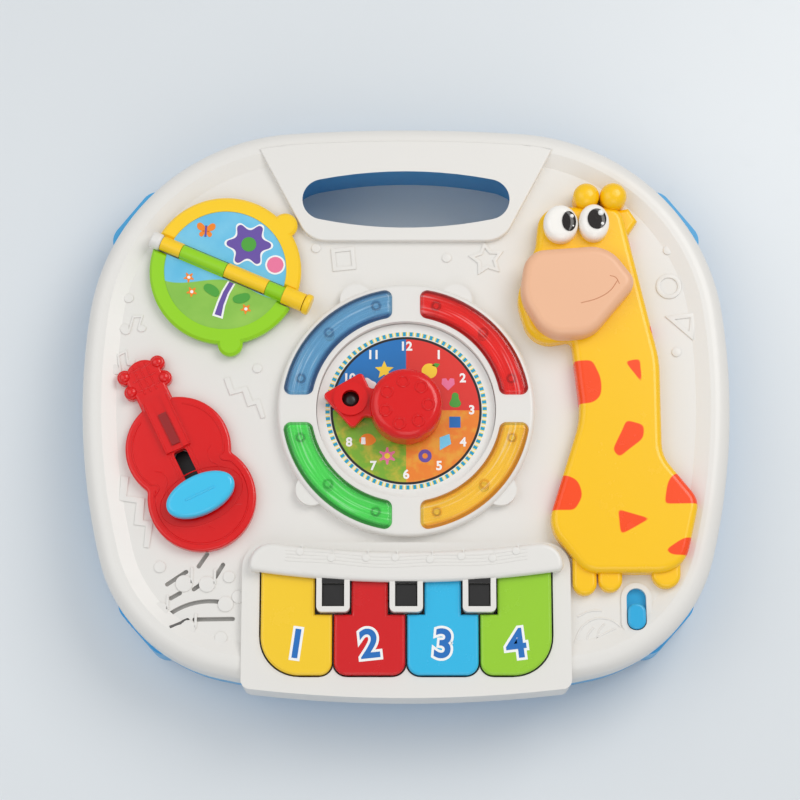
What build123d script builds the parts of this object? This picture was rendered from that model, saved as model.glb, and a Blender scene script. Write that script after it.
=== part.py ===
from build123d import *
import os
from math import acos, atan2, cos, hypot, radians, sin

os.makedirs("parts", exist_ok=True)

# Musical activity table, without its legs. Millimetres, +Z out of the play surface, +Y towards
# the carrying handle, origin at the middle of the underside.

# ---- Outline of the table ------------------------------------------------------------------
BODY_WIDTH = 363.0
BODY_BACK = 163.5
BODY_FRONT = 160.5
WIDEST_Y = 8.0
BACK_BOW = 970.0
SIDE_BOW = 380.0
FRONT_BOW = 500.0
BACK_CORNER = 122.0
FRONT_CORNER = 87.0

# ---- Heights and walls ---------------------------------------------------------------------
TUB_HEIGHT = 30.0
SHELL_HEIGHT = 25.0
RIM_RISE = 3.0
RIM_ROUND = 9.0
RIM_CREST = 2.5
RIM_SLOPE = 8.0
WALL = 2.5
TUB_INSET = 1.0
TUB_ROUND = 10.0
RUNNING = 0.05
GAP = 0.3

# ---- Carrying handle -----------------------------------------------------------------------
HOLE_BACK = 136.0
HOLE_FRONT = 102.5
HOLE_BACK_BOW = 250.0
HOLE_FRONT_BOW = 240.0
HOLE_END = 12.0
HOLE_FLARE = 11.0
PAD_RISE = 1.2
PAD_ROUND = 1.0
PAD_FRONT_Y = 95.0
PAD_FRONT_HALF = 55.0
PAD_SPREAD = 36.0
PAD_CORNER = 16.0
PAD_TIP = 1.0
SHOULDER_X = 83.0
SHOULDER_RADIUS = 14.0
SHOULDER_PROUD = 2.0

# ---- Leg sockets ---------------------------------------------------------------------------
LEG_BORE = 40.0
LEG_DEPTH = 23.0
SOCKET_WALL = 3.0
SOCKET_CORNER = 11.0
BACK_SOCKET_PROUD = 8.5
FRONT_SOCKET_PROUD = 0.5
BACK_SOCKET_ANGLE = 38.5
FRONT_SOCKET_ANGLE = -42.0
SHELF_MARGIN = 3.0

# ---- Case screws ---------------------------------------------------------------------------
SIDE_SCREW_INSET = 13.5
CORNER_SCREW_INSET = 80.5
CASE_SCREWS = [
    (45.0, 149.0),
    (BODY_WIDTH / 2 - SIDE_SCREW_INSET, 10.0),
    (93.0, -70.0),
    (BODY_WIDTH / 2 - CORNER_SCREW_INSET, -138.0),
]
POST_RADIUS = 5.0
SCREW_SHANK = 1.5
SCREW_HEAD = 3.0
SCREW_HEAD_HEIGHT = 2.0
SCREW_SINK = 12.0
SCREW_BITE = 12.0

# ---- Battery bay ---------------------------------------------------------------------------
CELL_RADIUS = 7.1
CELL_LENGTH = 48.5
CELL_NUB = 1.2
CELL_PITCH = 15.2
CONTACT_TRAVEL = 2.4
CONTACT_SHEET = 0.5
BAY_Y = 44.0
BAY_WALL = 2.0
BAY_LEDGE = 3.0
DOOR_THICKNESS = 2.0
DOOR_EAR = 10.0
DOOR_SCREW_SHANK = 1.2

# ---- Keyboard ------------------------------------------------------------------------------
BLOCK_HALF = 90.0
BLOCK_BACK_Y = -78.0
BLOCK_CORNER_Y = -158.0
BLOCK_FRONT_Y = -163.5
BLOCK_CORNER = 5.0
BLOCK_BACK_CORNER = 14.0
BLOCK_RISE = 4.5
KEY_COUNT = 4
KEY_WIDTH = 38.9
KEY_SPLIT = 1.0
KEY_MARGIN = 1.0
KEY_FRONT_Y = -151.2
KEY_RISE = 7.0
KEY_SKIRT = 9.0
KEY_SHEET = 1.8
KEY_ROUND = 1.6
KEY_END_ROUND = 21.0
KEY_CORNER_ROUND = 7.0
KEY_HINGE_Y = -90.5
KEY_HINGE_DROP = 6.0
ROD_RADIUS = 1.5
EYE_RADIUS = 3.2
EYE_WIDTH = 4.0
EYE_SPREAD = 6.5
TAIL_DEPTH = 2.4
WELL_BACK_Y = -85.5
TRAY_SHEET = 2.0
TRAY_FLOOR_DROP = 11.0
DOME_Y = -135.0
DOME_BASE = 6.0
DOME_TIP = 3.5
DOME_HEIGHT = 6.0
BOARD = 1.6
HOOD_HALF = 86.0
HOOD_BACK_Y = -77.5
HOOD_FRONT_Y = -94.4
HOOD_BOW = 6.5
HOOD_HEIGHT = 7.5
HOOD_SHEET = 3.5
HOOD_END = 12.0
HOOD_TIP = 3.5
HOOD_ROUND = 2.8
SHARP_WIDTH = 18.2
SHARP_FRONT_Y = -117.2
SHARP_RIM = 3.0
SHARP_RISE = 3.5
SHARP_DEPTH = 5.5
SHARP_BACK_Y = -95.5
SHARP_RECESS_Y = -101.2
SHARP_FLOOR = 1.0
SHARP_CORNER = 3.0
SHARP_SINK = 2.0
SHARP_GAP = 0.9

# ---- Clock ---------------------------------------------------------------------------------
CLOCK_Y = -3.0
BEZEL_RADIUS = 71.7
BEZEL_BORE = 50.0
BEZEL_RISE = 7.0
BEZEL_ROUND = 2.6
LUG_RADIUS = 9.0
LUG_REACH = 69.0
LUG_ANGLES = [66.0, 114.0, 221.0, 319.0]
LENS_OUTER = 68.9
LENS_INNER = 53.0
LENS_END = 8.0
LENS_CORNER = 4.0
LENS_RISE = 9.0
LENS_ROUND = 2.6
LENS_SHEET = 1.8
LENS_SEAT = 0.2
LENS_SCREW_ANGLE = 29.0
LENS_BOSS = 2.4
LED_RADIUS = 2.5
DIAL_SHEET = 2.0
SPINDLE_RADIUS = 5.0
SPINDLE_BOSS = 8.0
SPINDLE_BEARING = 9.0
KNOB_RADIUS = 20.0
KNOB_HEIGHT = 18.0
KNOB_ROUND = 5.0
KNOB_FLOAT = 2.0
POINTER_ANGLE = 171.0
POINTER_REACH = 47.4
POINTER_BARB = 27.5
POINTER_HALF = 16.5
POINTER_SHEET = 5.0
POINTER_RING = 31.2
POINTER_RING_OUTER = 9.5
POINTER_EYE = 4.8
DIAL_BOARD_DROP = 5.0
DIAL_BOARD_RADIUS = 66.0
DIAL_BOARD_BORE = 14.0
DIAL_BOARD_POSTS = 40.0

# ---- Picture book --------------------------------------------------------------------------
BOOK_INSET = 79.7
BOOK_X = BOOK_INSET - BODY_WIDTH / 2
BOOK_Y = 77.0
BOOK_TILT = -23.5
PAGE_RADIUS = 42.7
PAGE_SHEET = 4.0
PAGE_FLOAT = 2.5
PAGE_BEVEL = 1.4
PAGE_PICTURE = 34.4
PICTURE_SINK = 0.8
PICTURE_SHEET = 0.4
TAB_ANGLE = 62.0
TAB_RADIUS = 7.0
TUBE_RADIUS = 4.0
CAP_RADIUS = 5.2
BOOK_PIN = 1.5
KNUCKLES_UPPER = [(-39.0, -27.0), (0.6, 25.7)]
KNUCKLES_LOWER = [(-26.7, 0.3), (26.0, 36.0)]
CAP_SPAN = (36.3, 48.4)
LUG_LEFT = (-43.4, -39.3)
LUG_RIGHT = (48.7, 52.0)
BASE_RADIUS = 36.0
BASE_SHEET = 2.2

# ---- Violin --------------------------------------------------------------------------------
VIOLIN_INSET = 68.7
VIOLIN_X = VIOLIN_INSET - BODY_WIDTH / 2
VIOLIN_Y = -53.0
VIOLIN_TILT = 26.0
LOWER_BOUT = 30.0
UPPER_BOUT = 29.3
UPPER_BOUT_AT = 31.0
WAIST_ROUND = 3.0
NECK_HALF = 9.3
NECK_END = 70.0
SCROLL_AT = 75.5
SCROLL_RADIUS = 10.5
PEG_RADIUS = 4.2
PEG_AT = [71.0, 80.5]
PEG_HALF = 10.0
VIOLIN_RISE = 6.0
VIOLIN_ROUND = 1.6
FINGERBOARD_RISE = 2.5
FINGERBOARD_HALF = 7.2
FINGERBOARD_FOOT = 30.0
SLOT_WIDTH = 7.6
SLOT_LOW = -5.0
SLOT_HIGH = 29.5
SLIDER_TRAVEL = 24.0
SLIDER_LENGTH = 40.0
SLIDER_WIDTH = 22.0
SLIDER_HEIGHT = 6.5
SLIDER_ROUND = 2.6
STEM_WIDTH = 7.0
STEM_LENGTH = 8.0
SLIDER_LIFT = 1.0
CARRIAGE_WIDTH = 15.0
CARRIAGE_LENGTH = 16.0
CARRIAGE_SHEET = 2.0

# ---- Giraffe -------------------------------------------------------------------------------
GIRAFFE_INSET = 71.5
GIRAFFE_X = BODY_WIDTH / 2 - GIRAFFE_INSET


def from_giraffe(rows):
    """Rows whose first number is measured from the giraffe's middle line, measured from the table's."""
    return [(GIRAFFE_X + x, *rest) for x, *rest in rows]


GIRAFFE_RISE = 11.0
GIRAFFE_ROUND = 4.0
GIRAFFE_SHEET = 2.5
GIRAFFE_POINTS = from_giraffe(
    [
        (-34.5, 113.5),
        (11.5, 113.5),
        (16.5, 90.0),
        (31.3, 24.0),
        (31.5, -30.0),
        (51.5, -55.0),
        (42.0, -95.5),
        (-11.8, -95.5),
        (-32.5, -69.5),
        (-13.0, -8.0),
        (-17.7, 36.0),
        (-40.0, 32.0),
        (-48.5, 60.0),
        (-37.0, 90.0),
    ]
)
GIRAFFE_CORNERS = [13.0, 9.0, 30.0, 60.0, 20.0, 13.0, 18.0, 14.0, 20.0, 45.0, 3.0, 15.0, 22.0, 15.0]
LEG_RISE = 6.5
LEGS = from_giraffe([(-12.2, -107.3, 6.6), (1.8, -105.5, 6.6), (32.5, -103.5, 8.0)])
LEG_TOP_Y = -85.0
HORNS = from_giraffe([(-8.2, 119.0, 7.4), (7.0, 119.0, 7.6)])
HORN_RISE = 17.0
HORN_ROUND = 6.5
EAR_POINTS = from_giraffe([(2.0, 111.0), (16.0, 113.5), (20.8, 106.0), (10.0, 90.0)])
EAR_ROUND = 2.5
MUZZLE_POINTS = from_giraffe(
    [
        (-43.0, 84.5),
        (3.0, 88.0),
        (19.0, 66.5),
        (-7.0, 35.5),
        (-33.0, 34.5),
        (-47.0, 58.0),
    ]
)
MUZZLE_CORNERS = [13.0, 20.0, 8.0, 18.0, 18.0, 25.0]
MUZZLE_SINK = 1.0
MUZZLE_HEIGHT = 11.0
MUZZLE_ROUND = 5.0
EYES = from_giraffe([(-23.1, 101.5, 9.7, 10.8), (-4.4, 102.3, 8.6, 10.6)])
EYE_HEIGHT = 8.0
EYE_ROUND = 4.5
PUPILS = from_giraffe([(-18.6, 101.9, 4.0, 5.8), (-3.0, 103.2, 5.3, 5.9)])
PUPIL_PROUD = 0.6

# ---- Screws of the figures -----------------------------------------------------------------
GIRAFFE_SCREWS = from_giraffe([(-5.0, 60.0), (8.0, 10.0), (-5.0, -62.0), (27.0, -74.0)])
VIOLIN_SCREWS = [(-20.0, -6.0), (20.0, -6.0), (0.0, 54.0)]
FIGURE_BOSS = 3.6
GIRAFFE_BITE = 6.5
VIOLIN_BITE = 3.5
VIOLIN_SHEET = 2.0

# ---- Power switch --------------------------------------------------------------------------
SWITCH_INSET = 55.3
SWITCH_X = BODY_WIDTH / 2 - SWITCH_INSET
SWITCH_Y = -114.6
SWITCH_OPENING = 10.8
SWITCH_SPAN = 23.4
SWITCH_RIM = 3.0
SWITCH_RIM_RISE = 1.2
SWITCH_KNOB = 10.0
SWITCH_KNOB_LENGTH = 14.4
SWITCH_KNOB_RISE = 3.5
SWITCH_TRAVEL = 8.0
SWITCH_PLATE_WIDTH = 14.0
SWITCH_PLATE_LENGTH = 33.0
SWITCH_PLATE = 1.5
SWITCH_BOX = (16.0, 24.0, 7.0)

# ---- Loudspeaker ---------------------------------------------------------------------------
SPEAKER_INSET = 69.5
SPEAKER_X = SPEAKER_INSET - BODY_WIDTH / 2
SPEAKER_Y = -105.0
SPEAKER_RADIUS = 25.0
SPEAKER_DEPTH = 16.0
SPEAKER_FLANGE = 2.0
MAGNET_RADIUS = 12.0
CONE_SHEET = 0.8
SOUND_SLOT = 2.4
SOUND_SLOTS = [
    ((-2.2, 14.4), (2.3, 21.1)),
    ((-19.3, 4.4), (-9.0, 11.3)),
    ((7.2, 8.6), (11.2, 15.3)),
    ((-4.6, 1.7), (3.4, 7.4)),
    ((-17.2, -3.3), (-12.3, -0.5)),
    ((-17.3, -19.7), (-7.8, -15.4)),
    ((-3.9, -15.0), (17.0, -14.7)),
]
SOUND_BEND = ((-18.9, -13.0), (-8.5, -7.2), (10.0, -5.3))

# ---- Heights worked out from the sizes above ------------------------------------------------
DECK_Z = TUB_HEIGHT + SHELL_HEIGHT
ROOF_Z = DECK_Z - WALL
RIM_Z = DECK_Z + RIM_RISE
PAD_Z = RIM_Z + PAD_RISE
BLOCK_Z = DECK_Z + BLOCK_RISE
KEY_TOP = DECK_Z + KEY_RISE
HINGE_Z = KEY_TOP - KEY_HINGE_DROP
TRAY_FLOOR_Z = DECK_Z - TRAY_FLOOR_DROP
DIAL_Z = DECK_Z + DIAL_SHEET
PAGE_Z = DECK_Z + PAGE_FLOAT
PIN_Z = PAGE_Z + PAGE_SHEET + GAP
VIOLIN_Z = DECK_Z + VIOLIN_RISE
FINGER_Z = VIOLIN_Z + FINGERBOARD_RISE
SLIDER_Z = FINGER_Z + SLIDER_LIFT
GIRAFFE_Z = DECK_Z + GIRAFFE_RISE
KEY_PITCH = KEY_WIDTH + KEY_SPLIT
WELL_HALF = KEY_COUNT * KEY_PITCH / 2 - KEY_SPLIT / 2 + KEY_MARGIN
WELL_FRONT_Y = KEY_FRONT_Y - KEY_MARGIN
SHARPS_X = [(i - KEY_COUNT / 2) * KEY_PITCH for i in range(1, KEY_COUNT)]
KEYS_X = [(i - (KEY_COUNT - 1) / 2) * KEY_PITCH for i in range(KEY_COUNT)]
SOCKET_SIZE = LEG_BORE + 2 * SOCKET_WALL
SOCKET_HEIGHT = LEG_DEPTH + SOCKET_WALL


# ---- Shared outlines -----------------------------------------------------------------------
def level(height):
    """Horizontal plane at a height."""
    return Plane.XY.offset(height)


def turned(x, y, height, angle):
    """Horizontal plane with its own origin, turned about Z."""
    return Plane(
        origin=(x, y, height),
        x_dir=(cos(radians(angle)), sin(radians(angle)), 0),
        z_dir=(0, 0, 1),
    )


def corner_centre(bow_centre_y, bow, corner):
    """Centre of the corner arc between the right side's bow and the front or back bow."""
    side_x = BODY_WIDTH / 2 - SIDE_BOW
    from_side = SIDE_BOW - corner
    from_bow = bow - corner
    span = hypot(side_x, WIDEST_Y - bow_centre_y)
    lean = atan2(WIDEST_Y - bow_centre_y, side_x)
    spread = acos((from_bow**2 + span**2 - from_side**2) / (2 * from_bow * span))
    angle = lean - spread if bow_centre_y < 0 else lean + spread
    return Vector(from_bow * cos(angle), bow_centre_y + from_bow * sin(angle))


BACK_CENTRE_Y = BODY_BACK - BACK_BOW
FRONT_CENTRE_Y = FRONT_BOW - BODY_FRONT
BACK_CORNER_CENTRE = corner_centre(BACK_CENTRE_Y, BACK_BOW, BACK_CORNER)
FRONT_CORNER_CENTRE = corner_centre(FRONT_CENTRE_Y, FRONT_BOW, FRONT_CORNER)


def body_outline(grow=0.0):
    """Footprint of the table: four bowed sides and four round corners."""
    with BuildSketch() as outline:
        with Locations((0, BACK_CENTRE_Y)):
            Circle(BACK_BOW + grow)
        with Locations((0, FRONT_CENTRE_Y)):
            Circle(FRONT_BOW + grow, mode=Mode.INTERSECT)
        for side in (-1, 1):
            with Locations((side * (BODY_WIDTH / 2 - SIDE_BOW), WIDEST_Y)):
                Circle(SIDE_BOW + grow, mode=Mode.INTERSECT)
        fillet(outline.vertices().group_by(Axis.Y)[0], FRONT_CORNER + grow)
        fillet(outline.vertices().group_by(Axis.Y)[-1], BACK_CORNER + grow)
    return outline.sketch


def handle_hole(grow=0.0):
    """Opening for the fingers, pointed oval with round ends."""
    with BuildSketch() as outline:
        with Locations((0, HOLE_BACK - HOLE_BACK_BOW)):
            Circle(HOLE_BACK_BOW + grow)
        with Locations((0, HOLE_FRONT + HOLE_FRONT_BOW)):
            Circle(HOLE_FRONT_BOW + grow, mode=Mode.INTERSECT)
        fillet(outline.vertices(), HOLE_END + grow)
    return outline.sketch


def finger_space(grow=0.0):
    """Space through the top shell's part of the handle, wider towards the parting line."""
    with BuildPart() as space:
        with BuildSketch(level(TUB_HEIGHT)):
            add(handle_hole(HOLE_FLARE + grow))
        with BuildSketch(level(PAD_Z)):
            add(handle_hole(grow))
        loft()
    return space.part


def block_outline(grow=0.0):
    """Footprint of the keyboard block, with a bowed front."""
    half = BLOCK_HALF + grow
    with BuildSketch() as outline:
        with BuildLine():
            ThreePointArc(
                (-half, BLOCK_CORNER_Y - grow), (0, BLOCK_FRONT_Y - grow), (half, BLOCK_CORNER_Y - grow)
            )
            Polyline(
                (half, BLOCK_CORNER_Y - grow),
                (half, BLOCK_BACK_Y + grow),
                (-half, BLOCK_BACK_Y + grow),
                (-half, BLOCK_CORNER_Y - grow),
            )
        make_face()
        fillet(outline.vertices().group_by(Axis.Y)[0], BLOCK_CORNER + grow)
        fillet(outline.vertices().group_by(Axis.Y)[-1], BLOCK_BACK_CORNER + grow)
    return outline.sketch


def pad_outline():
    """Raised grip of the handle, wider towards the back."""
    reach = BODY_BACK - PAD_FRONT_Y
    with BuildSketch() as outline:
        with BuildLine():
            FilletPolyline(
                (-PAD_FRONT_HALF - PAD_SPREAD, PAD_FRONT_Y + reach),
                (-PAD_FRONT_HALF, PAD_FRONT_Y),
                (PAD_FRONT_HALF, PAD_FRONT_Y),
                (PAD_FRONT_HALF + PAD_SPREAD, PAD_FRONT_Y + reach),
                radius=[PAD_TIP, PAD_CORNER, PAD_CORNER, PAD_TIP],
                close=True,
            )
        make_face()
        add(body_outline(-RIM_ROUND), mode=Mode.INTERSECT)
    return outline.sketch


def sockets():
    """Leg socket names with their centres and outward angles."""
    found = []
    for end, centre, corner, proud, angle in (
        ("back", BACK_CORNER_CENTRE, BACK_CORNER, BACK_SOCKET_PROUD, BACK_SOCKET_ANGLE),
        ("front", FRONT_CORNER_CENTRE, FRONT_CORNER, FRONT_SOCKET_PROUD, FRONT_SOCKET_ANGLE),
    ):
        reach = corner + proud - SOCKET_SIZE / 2
        x = centre.X + reach * cos(radians(angle))
        y = centre.Y + reach * sin(radians(angle))
        found.append((end + "_right", x, y, angle))
        found.append((end + "_left", -x, y, 180 - angle))
    return found


def both_sides(points):
    """The points and their mirror images about the middle."""
    return [(side * x, y) for x, y in points for side in (1, -1)]


def lens_outline(quarter, grow=0.0):
    """Quarter ring with square-cut ends that run beside the clock's axes."""
    with BuildSketch(turned(0, CLOCK_Y, 0, 90 * quarter)) as outline:
        Circle(LENS_OUTER + grow)
        Circle(LENS_INNER - grow, mode=Mode.SUBTRACT)
        cut = LENS_END - grow
        with Locations((cut + LENS_OUTER, cut + LENS_OUTER)):
            Rectangle(2 * LENS_OUTER, 2 * LENS_OUTER, mode=Mode.INTERSECT)
        fillet(outline.vertices(), LENS_CORNER + grow)
    return outline.sketch


def violin_plane(height):
    """Violin's own plane: Y runs up its neck, X across it."""
    return turned(VIOLIN_X, VIOLIN_Y, height, VIOLIN_TILT)


def book_plane(height):
    """Book's own plane: X runs along the hinge tube, Y over the upper page."""
    return turned(BOOK_X, BOOK_Y, height, BOOK_TILT)


def across_book(along):
    """Upright plane across the hinge tube, its X to the upper page and its Y up."""
    tilt = radians(BOOK_TILT)
    return Plane(
        origin=(BOOK_X + along * cos(tilt), BOOK_Y + along * sin(tilt), PIN_Z),
        x_dir=(-sin(tilt), cos(tilt), 0),
        z_dir=(cos(tilt), sin(tilt), 0),
    )


def giraffe_outline(grow=0.0):
    """Plan of the giraffe without its feet, horns and ear."""
    with BuildSketch() as outline:
        with BuildLine():
            FilletPolyline(*GIRAFFE_POINTS, radius=GIRAFFE_CORNERS, close=True)
        make_face()
        if grow:
            offset(amount=grow)
    return outline.sketch


def muzzle_outline():
    """Plan of the giraffe's muzzle."""
    with BuildSketch() as outline:
        with BuildLine():
            FilletPolyline(*MUZZLE_POINTS, radius=MUZZLE_CORNERS, close=True)
        make_face()
    return outline.sketch


def bouts_outline(grow=0.0):
    """Plan of the violin's two round bouts, its waist rounded by shrinking larger circles."""
    with BuildSketch() as outline:
        Circle(LOWER_BOUT + WAIST_ROUND)
        with Locations((0, UPPER_BOUT_AT)):
            Circle(UPPER_BOUT + WAIST_ROUND)
        offset(amount=grow - WAIST_ROUND)
    return outline.sketch


def bowl():
    """Space over the deck, inside the slope of the rim."""
    with BuildPart() as space:
        with BuildSketch(level(RIM_Z)):
            add(body_outline(-RIM_ROUND - RIM_CREST))
        with BuildSketch(level(DECK_Z)):
            add(body_outline(-RIM_ROUND - RIM_CREST - RIM_SLOPE))
        loft()
        with BuildSketch(level(RIM_Z)):
            add(body_outline(-RIM_ROUND - RIM_CREST))
        extrude(amount=HOOD_HEIGHT + HORN_RISE)
    return space.part


# ---- Top shell -----------------------------------------------------------------------------
EAR_RADIUS = 4.0
EAR_SHEET = 2.5
EAR_REACH = 5.2
EAR_ROOTS = [(50.0, WELL_BACK_Y), (WELL_HALF, -125.0)]
TRAY_EARS = [(50.0, WELL_BACK_Y + EAR_REACH), (WELL_HALF + EAR_REACH, -125.0)]
TRAY_SCREW_BITE = 4.0
CONTACT_ROOM = 2.0
SLOT_CLEAR = 1.0
DIAL_BOARD_Z = ROOF_Z - DIAL_BOARD_DROP
SLOT_MIDDLE = (SLOT_LOW + SLOT_HIGH) / 2
SLOT_LENGTH = SLOT_HIGH - SLOT_LOW
SLIDER_BOARD_Z = ROOF_Z - GAP - CARRIAGE_SHEET - CONTACT_ROOM
SLIDER_BOARD = (24.0, 58.0)
SLIDER_POST_REACH = 25.0
SLIDER_POSTS = [(0, SLOT_MIDDLE + side * SLIDER_POST_REACH) for side in (-1, 1)]
SWITCH_POST_X = SWITCH_PLATE_WIDTH / 2 + GAP + POST_RADIUS / 2
SWITCH_EAR_Z = ROOF_Z - GAP - SWITCH_PLATE - CONTACT_ROOM
SPINDLE_BOSS_Z = DECK_Z - SPINDLE_BEARING

over_deck = bowl()
fingers = finger_space()
finger_wall = finger_space(WALL)
with BuildPart() as top_shell:
    with BuildSketch(level(TUB_HEIGHT)):
        add(body_outline())
    extrude(amount=RIM_Z - TUB_HEIGHT)
    fillet(top_shell.edges().group_by(Axis.Z)[-1], RIM_ROUND)
    add(over_deck, mode=Mode.SUBTRACT)
    with BuildSketch(level(ROOF_Z)):
        add(pad_outline())
    extrude(amount=PAD_Z - ROOF_Z)
    fillet(top_shell.edges().group_by(Axis.Z)[-1], PAD_ROUND)
    with BuildSketch(level(TUB_HEIGHT)):
        add(block_outline())
    extrude(amount=BLOCK_Z - TUB_HEIGHT)
    with BuildSketch(level(TUB_HEIGHT)):
        add(body_outline(-WALL))
        add(block_outline(-WALL))
    extrude(amount=ROOF_Z - TUB_HEIGHT, mode=Mode.SUBTRACT)
    add(finger_wall)
    add(fingers, mode=Mode.SUBTRACT)
    # well over the keys
    with BuildSketch(level(ROOF_Z)):
        with Locations((0, (WELL_BACK_Y + WELL_FRONT_Y) / 2)):
            Rectangle(2 * WELL_HALF, WELL_BACK_Y - WELL_FRONT_Y)
    extrude(amount=BLOCK_Z - ROOF_Z, mode=Mode.SUBTRACT)
    with BuildSketch(level(ROOF_Z)):
        with Locations(both_sides(TRAY_EARS)):
            Circle(SCREW_SHANK)
    extrude(amount=TRAY_SCREW_BITE, mode=Mode.SUBTRACT)
    # posts that the case screws bite into
    with BuildSketch(level(TUB_HEIGHT)):
        with Locations(both_sides(CASE_SCREWS)):
            Circle(POST_RADIUS)
    extrude(amount=ROOF_Z - TUB_HEIGHT)
    with BuildSketch(level(TUB_HEIGHT)):
        with Locations(both_sides(CASE_SCREWS)):
            Circle(SCREW_SHANK)
    extrude(amount=SCREW_BITE, mode=Mode.SUBTRACT)
    # bearing of the clock spindle, light holes and board posts
    with BuildSketch(level(SPINDLE_BOSS_Z)):
        with Locations((0, CLOCK_Y)):
            Circle(SPINDLE_BOSS)
    extrude(amount=ROOF_Z - SPINDLE_BOSS_Z)
    with BuildSketch(level(DIAL_BOARD_Z)):
        with Locations((0, CLOCK_Y)):
            with PolarLocations(DIAL_BOARD_POSTS, 4, start_angle=45):
                Circle(POST_RADIUS / 2)
    extrude(amount=ROOF_Z - DIAL_BOARD_Z)
    with BuildSketch(level(SPINDLE_BOSS_Z)):
        with Locations((0, CLOCK_Y)):
            Circle(SPINDLE_RADIUS + RUNNING)
            with PolarLocations((LENS_OUTER + LENS_INNER) / 2, 4, start_angle=45):
                Circle(LED_RADIUS + GAP)
            for side in (-1, 1):
                with PolarLocations((LENS_OUTER + LENS_INNER) / 2, 4, 45 + side * LENS_SCREW_ANGLE):
                    Circle(SCREW_SHANK)
    extrude(amount=DECK_Z - SPINDLE_BOSS_Z, mode=Mode.SUBTRACT)
    # slot of the violin slider and posts of its board
    with BuildSketch(violin_plane(SLIDER_BOARD_Z)):
        with Locations(SLIDER_POSTS):
            Circle(POST_RADIUS / 2)
    extrude(amount=ROOF_Z - SLIDER_BOARD_Z)
    with BuildSketch(violin_plane(ROOF_Z)):
        with Locations((0, SLOT_MIDDLE)):
            SlotOverall(SLOT_LENGTH + 2 * SLOT_CLEAR, SLOT_WIDTH + SLOT_CLEAR, rotation=90)
    extrude(amount=WALL, mode=Mode.SUBTRACT)
    # sound slots
    with BuildSketch(level(ROOF_Z).move(Location((SPEAKER_X, SPEAKER_Y, 0)))):
        for start, end in SOUND_SLOTS:
            SlotCenterPoint((Vector(*start) + Vector(*end)) / 2, end, SOUND_SLOT)
        with BuildLine():
            bend = ThreePointArc(*SOUND_BEND)
        SlotArc(bend, SOUND_SLOT)
    extrude(amount=WALL, mode=Mode.SUBTRACT)
    # holes of the screws that hold the giraffe and the violin
    with BuildSketch(level(ROOF_Z)):
        with Locations(GIRAFFE_SCREWS):
            Circle(SCREW_SHANK)
    extrude(amount=WALL, mode=Mode.SUBTRACT)
    with BuildSketch(violin_plane(ROOF_Z)):
        with Locations(VIOLIN_SCREWS):
            Circle(SCREW_SHANK)
    extrude(amount=WALL, mode=Mode.SUBTRACT)
    # raised rim and opening of the power switch, and the posts of the switch
    with BuildSketch(level(DECK_Z)):
        with Locations((SWITCH_X, SWITCH_Y)):
            SlotOverall(
                SWITCH_SPAN + 2 * SWITCH_RIM, SWITCH_OPENING + 2 * SWITCH_RIM, rotation=90
            )
    extrude(amount=SWITCH_RIM_RISE)
    with BuildSketch(level(ROOF_Z)):
        with Locations((SWITCH_X, SWITCH_Y)):
            SlotOverall(SWITCH_SPAN, SWITCH_OPENING, rotation=90)
    extrude(amount=RIM_Z - ROOF_Z, mode=Mode.SUBTRACT)
    with BuildSketch(level(SWITCH_EAR_Z)):
        with Locations([(SWITCH_X + side * SWITCH_POST_X, SWITCH_Y) for side in (-1, 1)]):
            Circle(POST_RADIUS / 2)
    extrude(amount=ROOF_Z - SWITCH_EAR_Z)
    # lugs that carry the book's pin
    for near, far in (LUG_LEFT, LUG_RIGHT):
        with BuildSketch(across_book(near)):
            Circle(TUBE_RADIUS)
            with Locations((0, (DECK_Z - PIN_Z) / 2)):
                Rectangle(2 * TUBE_RADIUS, PIN_Z - DECK_Z)
            Circle(BOOK_PIN, mode=Mode.SUBTRACT)
        extrude(amount=far - near)
top_shell.part.label = "top_shell"
export_step(top_shell.part, "parts/top_shell.step")

# ---- Bottom shell --------------------------------------------------------------------------
CELL_Z = DOOR_THICKNESS + CELL_RADIUS
BAY_LENGTH = CELL_LENGTH + CELL_NUB + CONTACT_TRAVEL + 2 * CONTACT_SHEET
BAY_WIDTH = 3 * CELL_PITCH
BAY_HEADROOM = 1.0
BAY_ROOF = CELL_Z + CELL_RADIUS + BAY_HEADROOM
DOOR_LENGTH = BAY_LENGTH + 2 * BAY_LEDGE
DOOR_WIDTH = BAY_WIDTH + 2 * BAY_LEDGE + DOOR_EAR
DOOR_Y = BAY_Y + DOOR_EAR / 2
DOOR_SCREW_Y = BAY_Y + BAY_WIDTH / 2 + BAY_LEDGE + DOOR_EAR / 2
DOOR_BOSS_HEIGHT = 12.0
BOARD_X = -78.0
BOARD_Y = 32.0
BOARD_SIZE = (64.0, 44.0)
BOARD_POST_HEIGHT = 6.0
BOARD_Z = WALL + BOARD_POST_HEIGHT
BOARD_POST_INSET = 4.0
POST_CORNERS = [
    (
        BOARD_X + i * (BOARD_SIZE[0] / 2 - BOARD_POST_INSET),
        BOARD_Y + j * (BOARD_SIZE[1] / 2 - BOARD_POST_INSET),
    )
    for i in (-1, 1)
    for j in (-1, 1)
]


def dish(grow, floor, corner):
    """Block of the table's outline from a floor to the parting line, its lower edge rounded."""
    with BuildPart() as block:
        with BuildSketch(level(floor)):
            add(body_outline(grow))
        extrude(amount=TUB_HEIGHT - floor)
        fillet(block.edges().group_by(Axis.Z)[0], corner)
    return block.part


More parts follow.
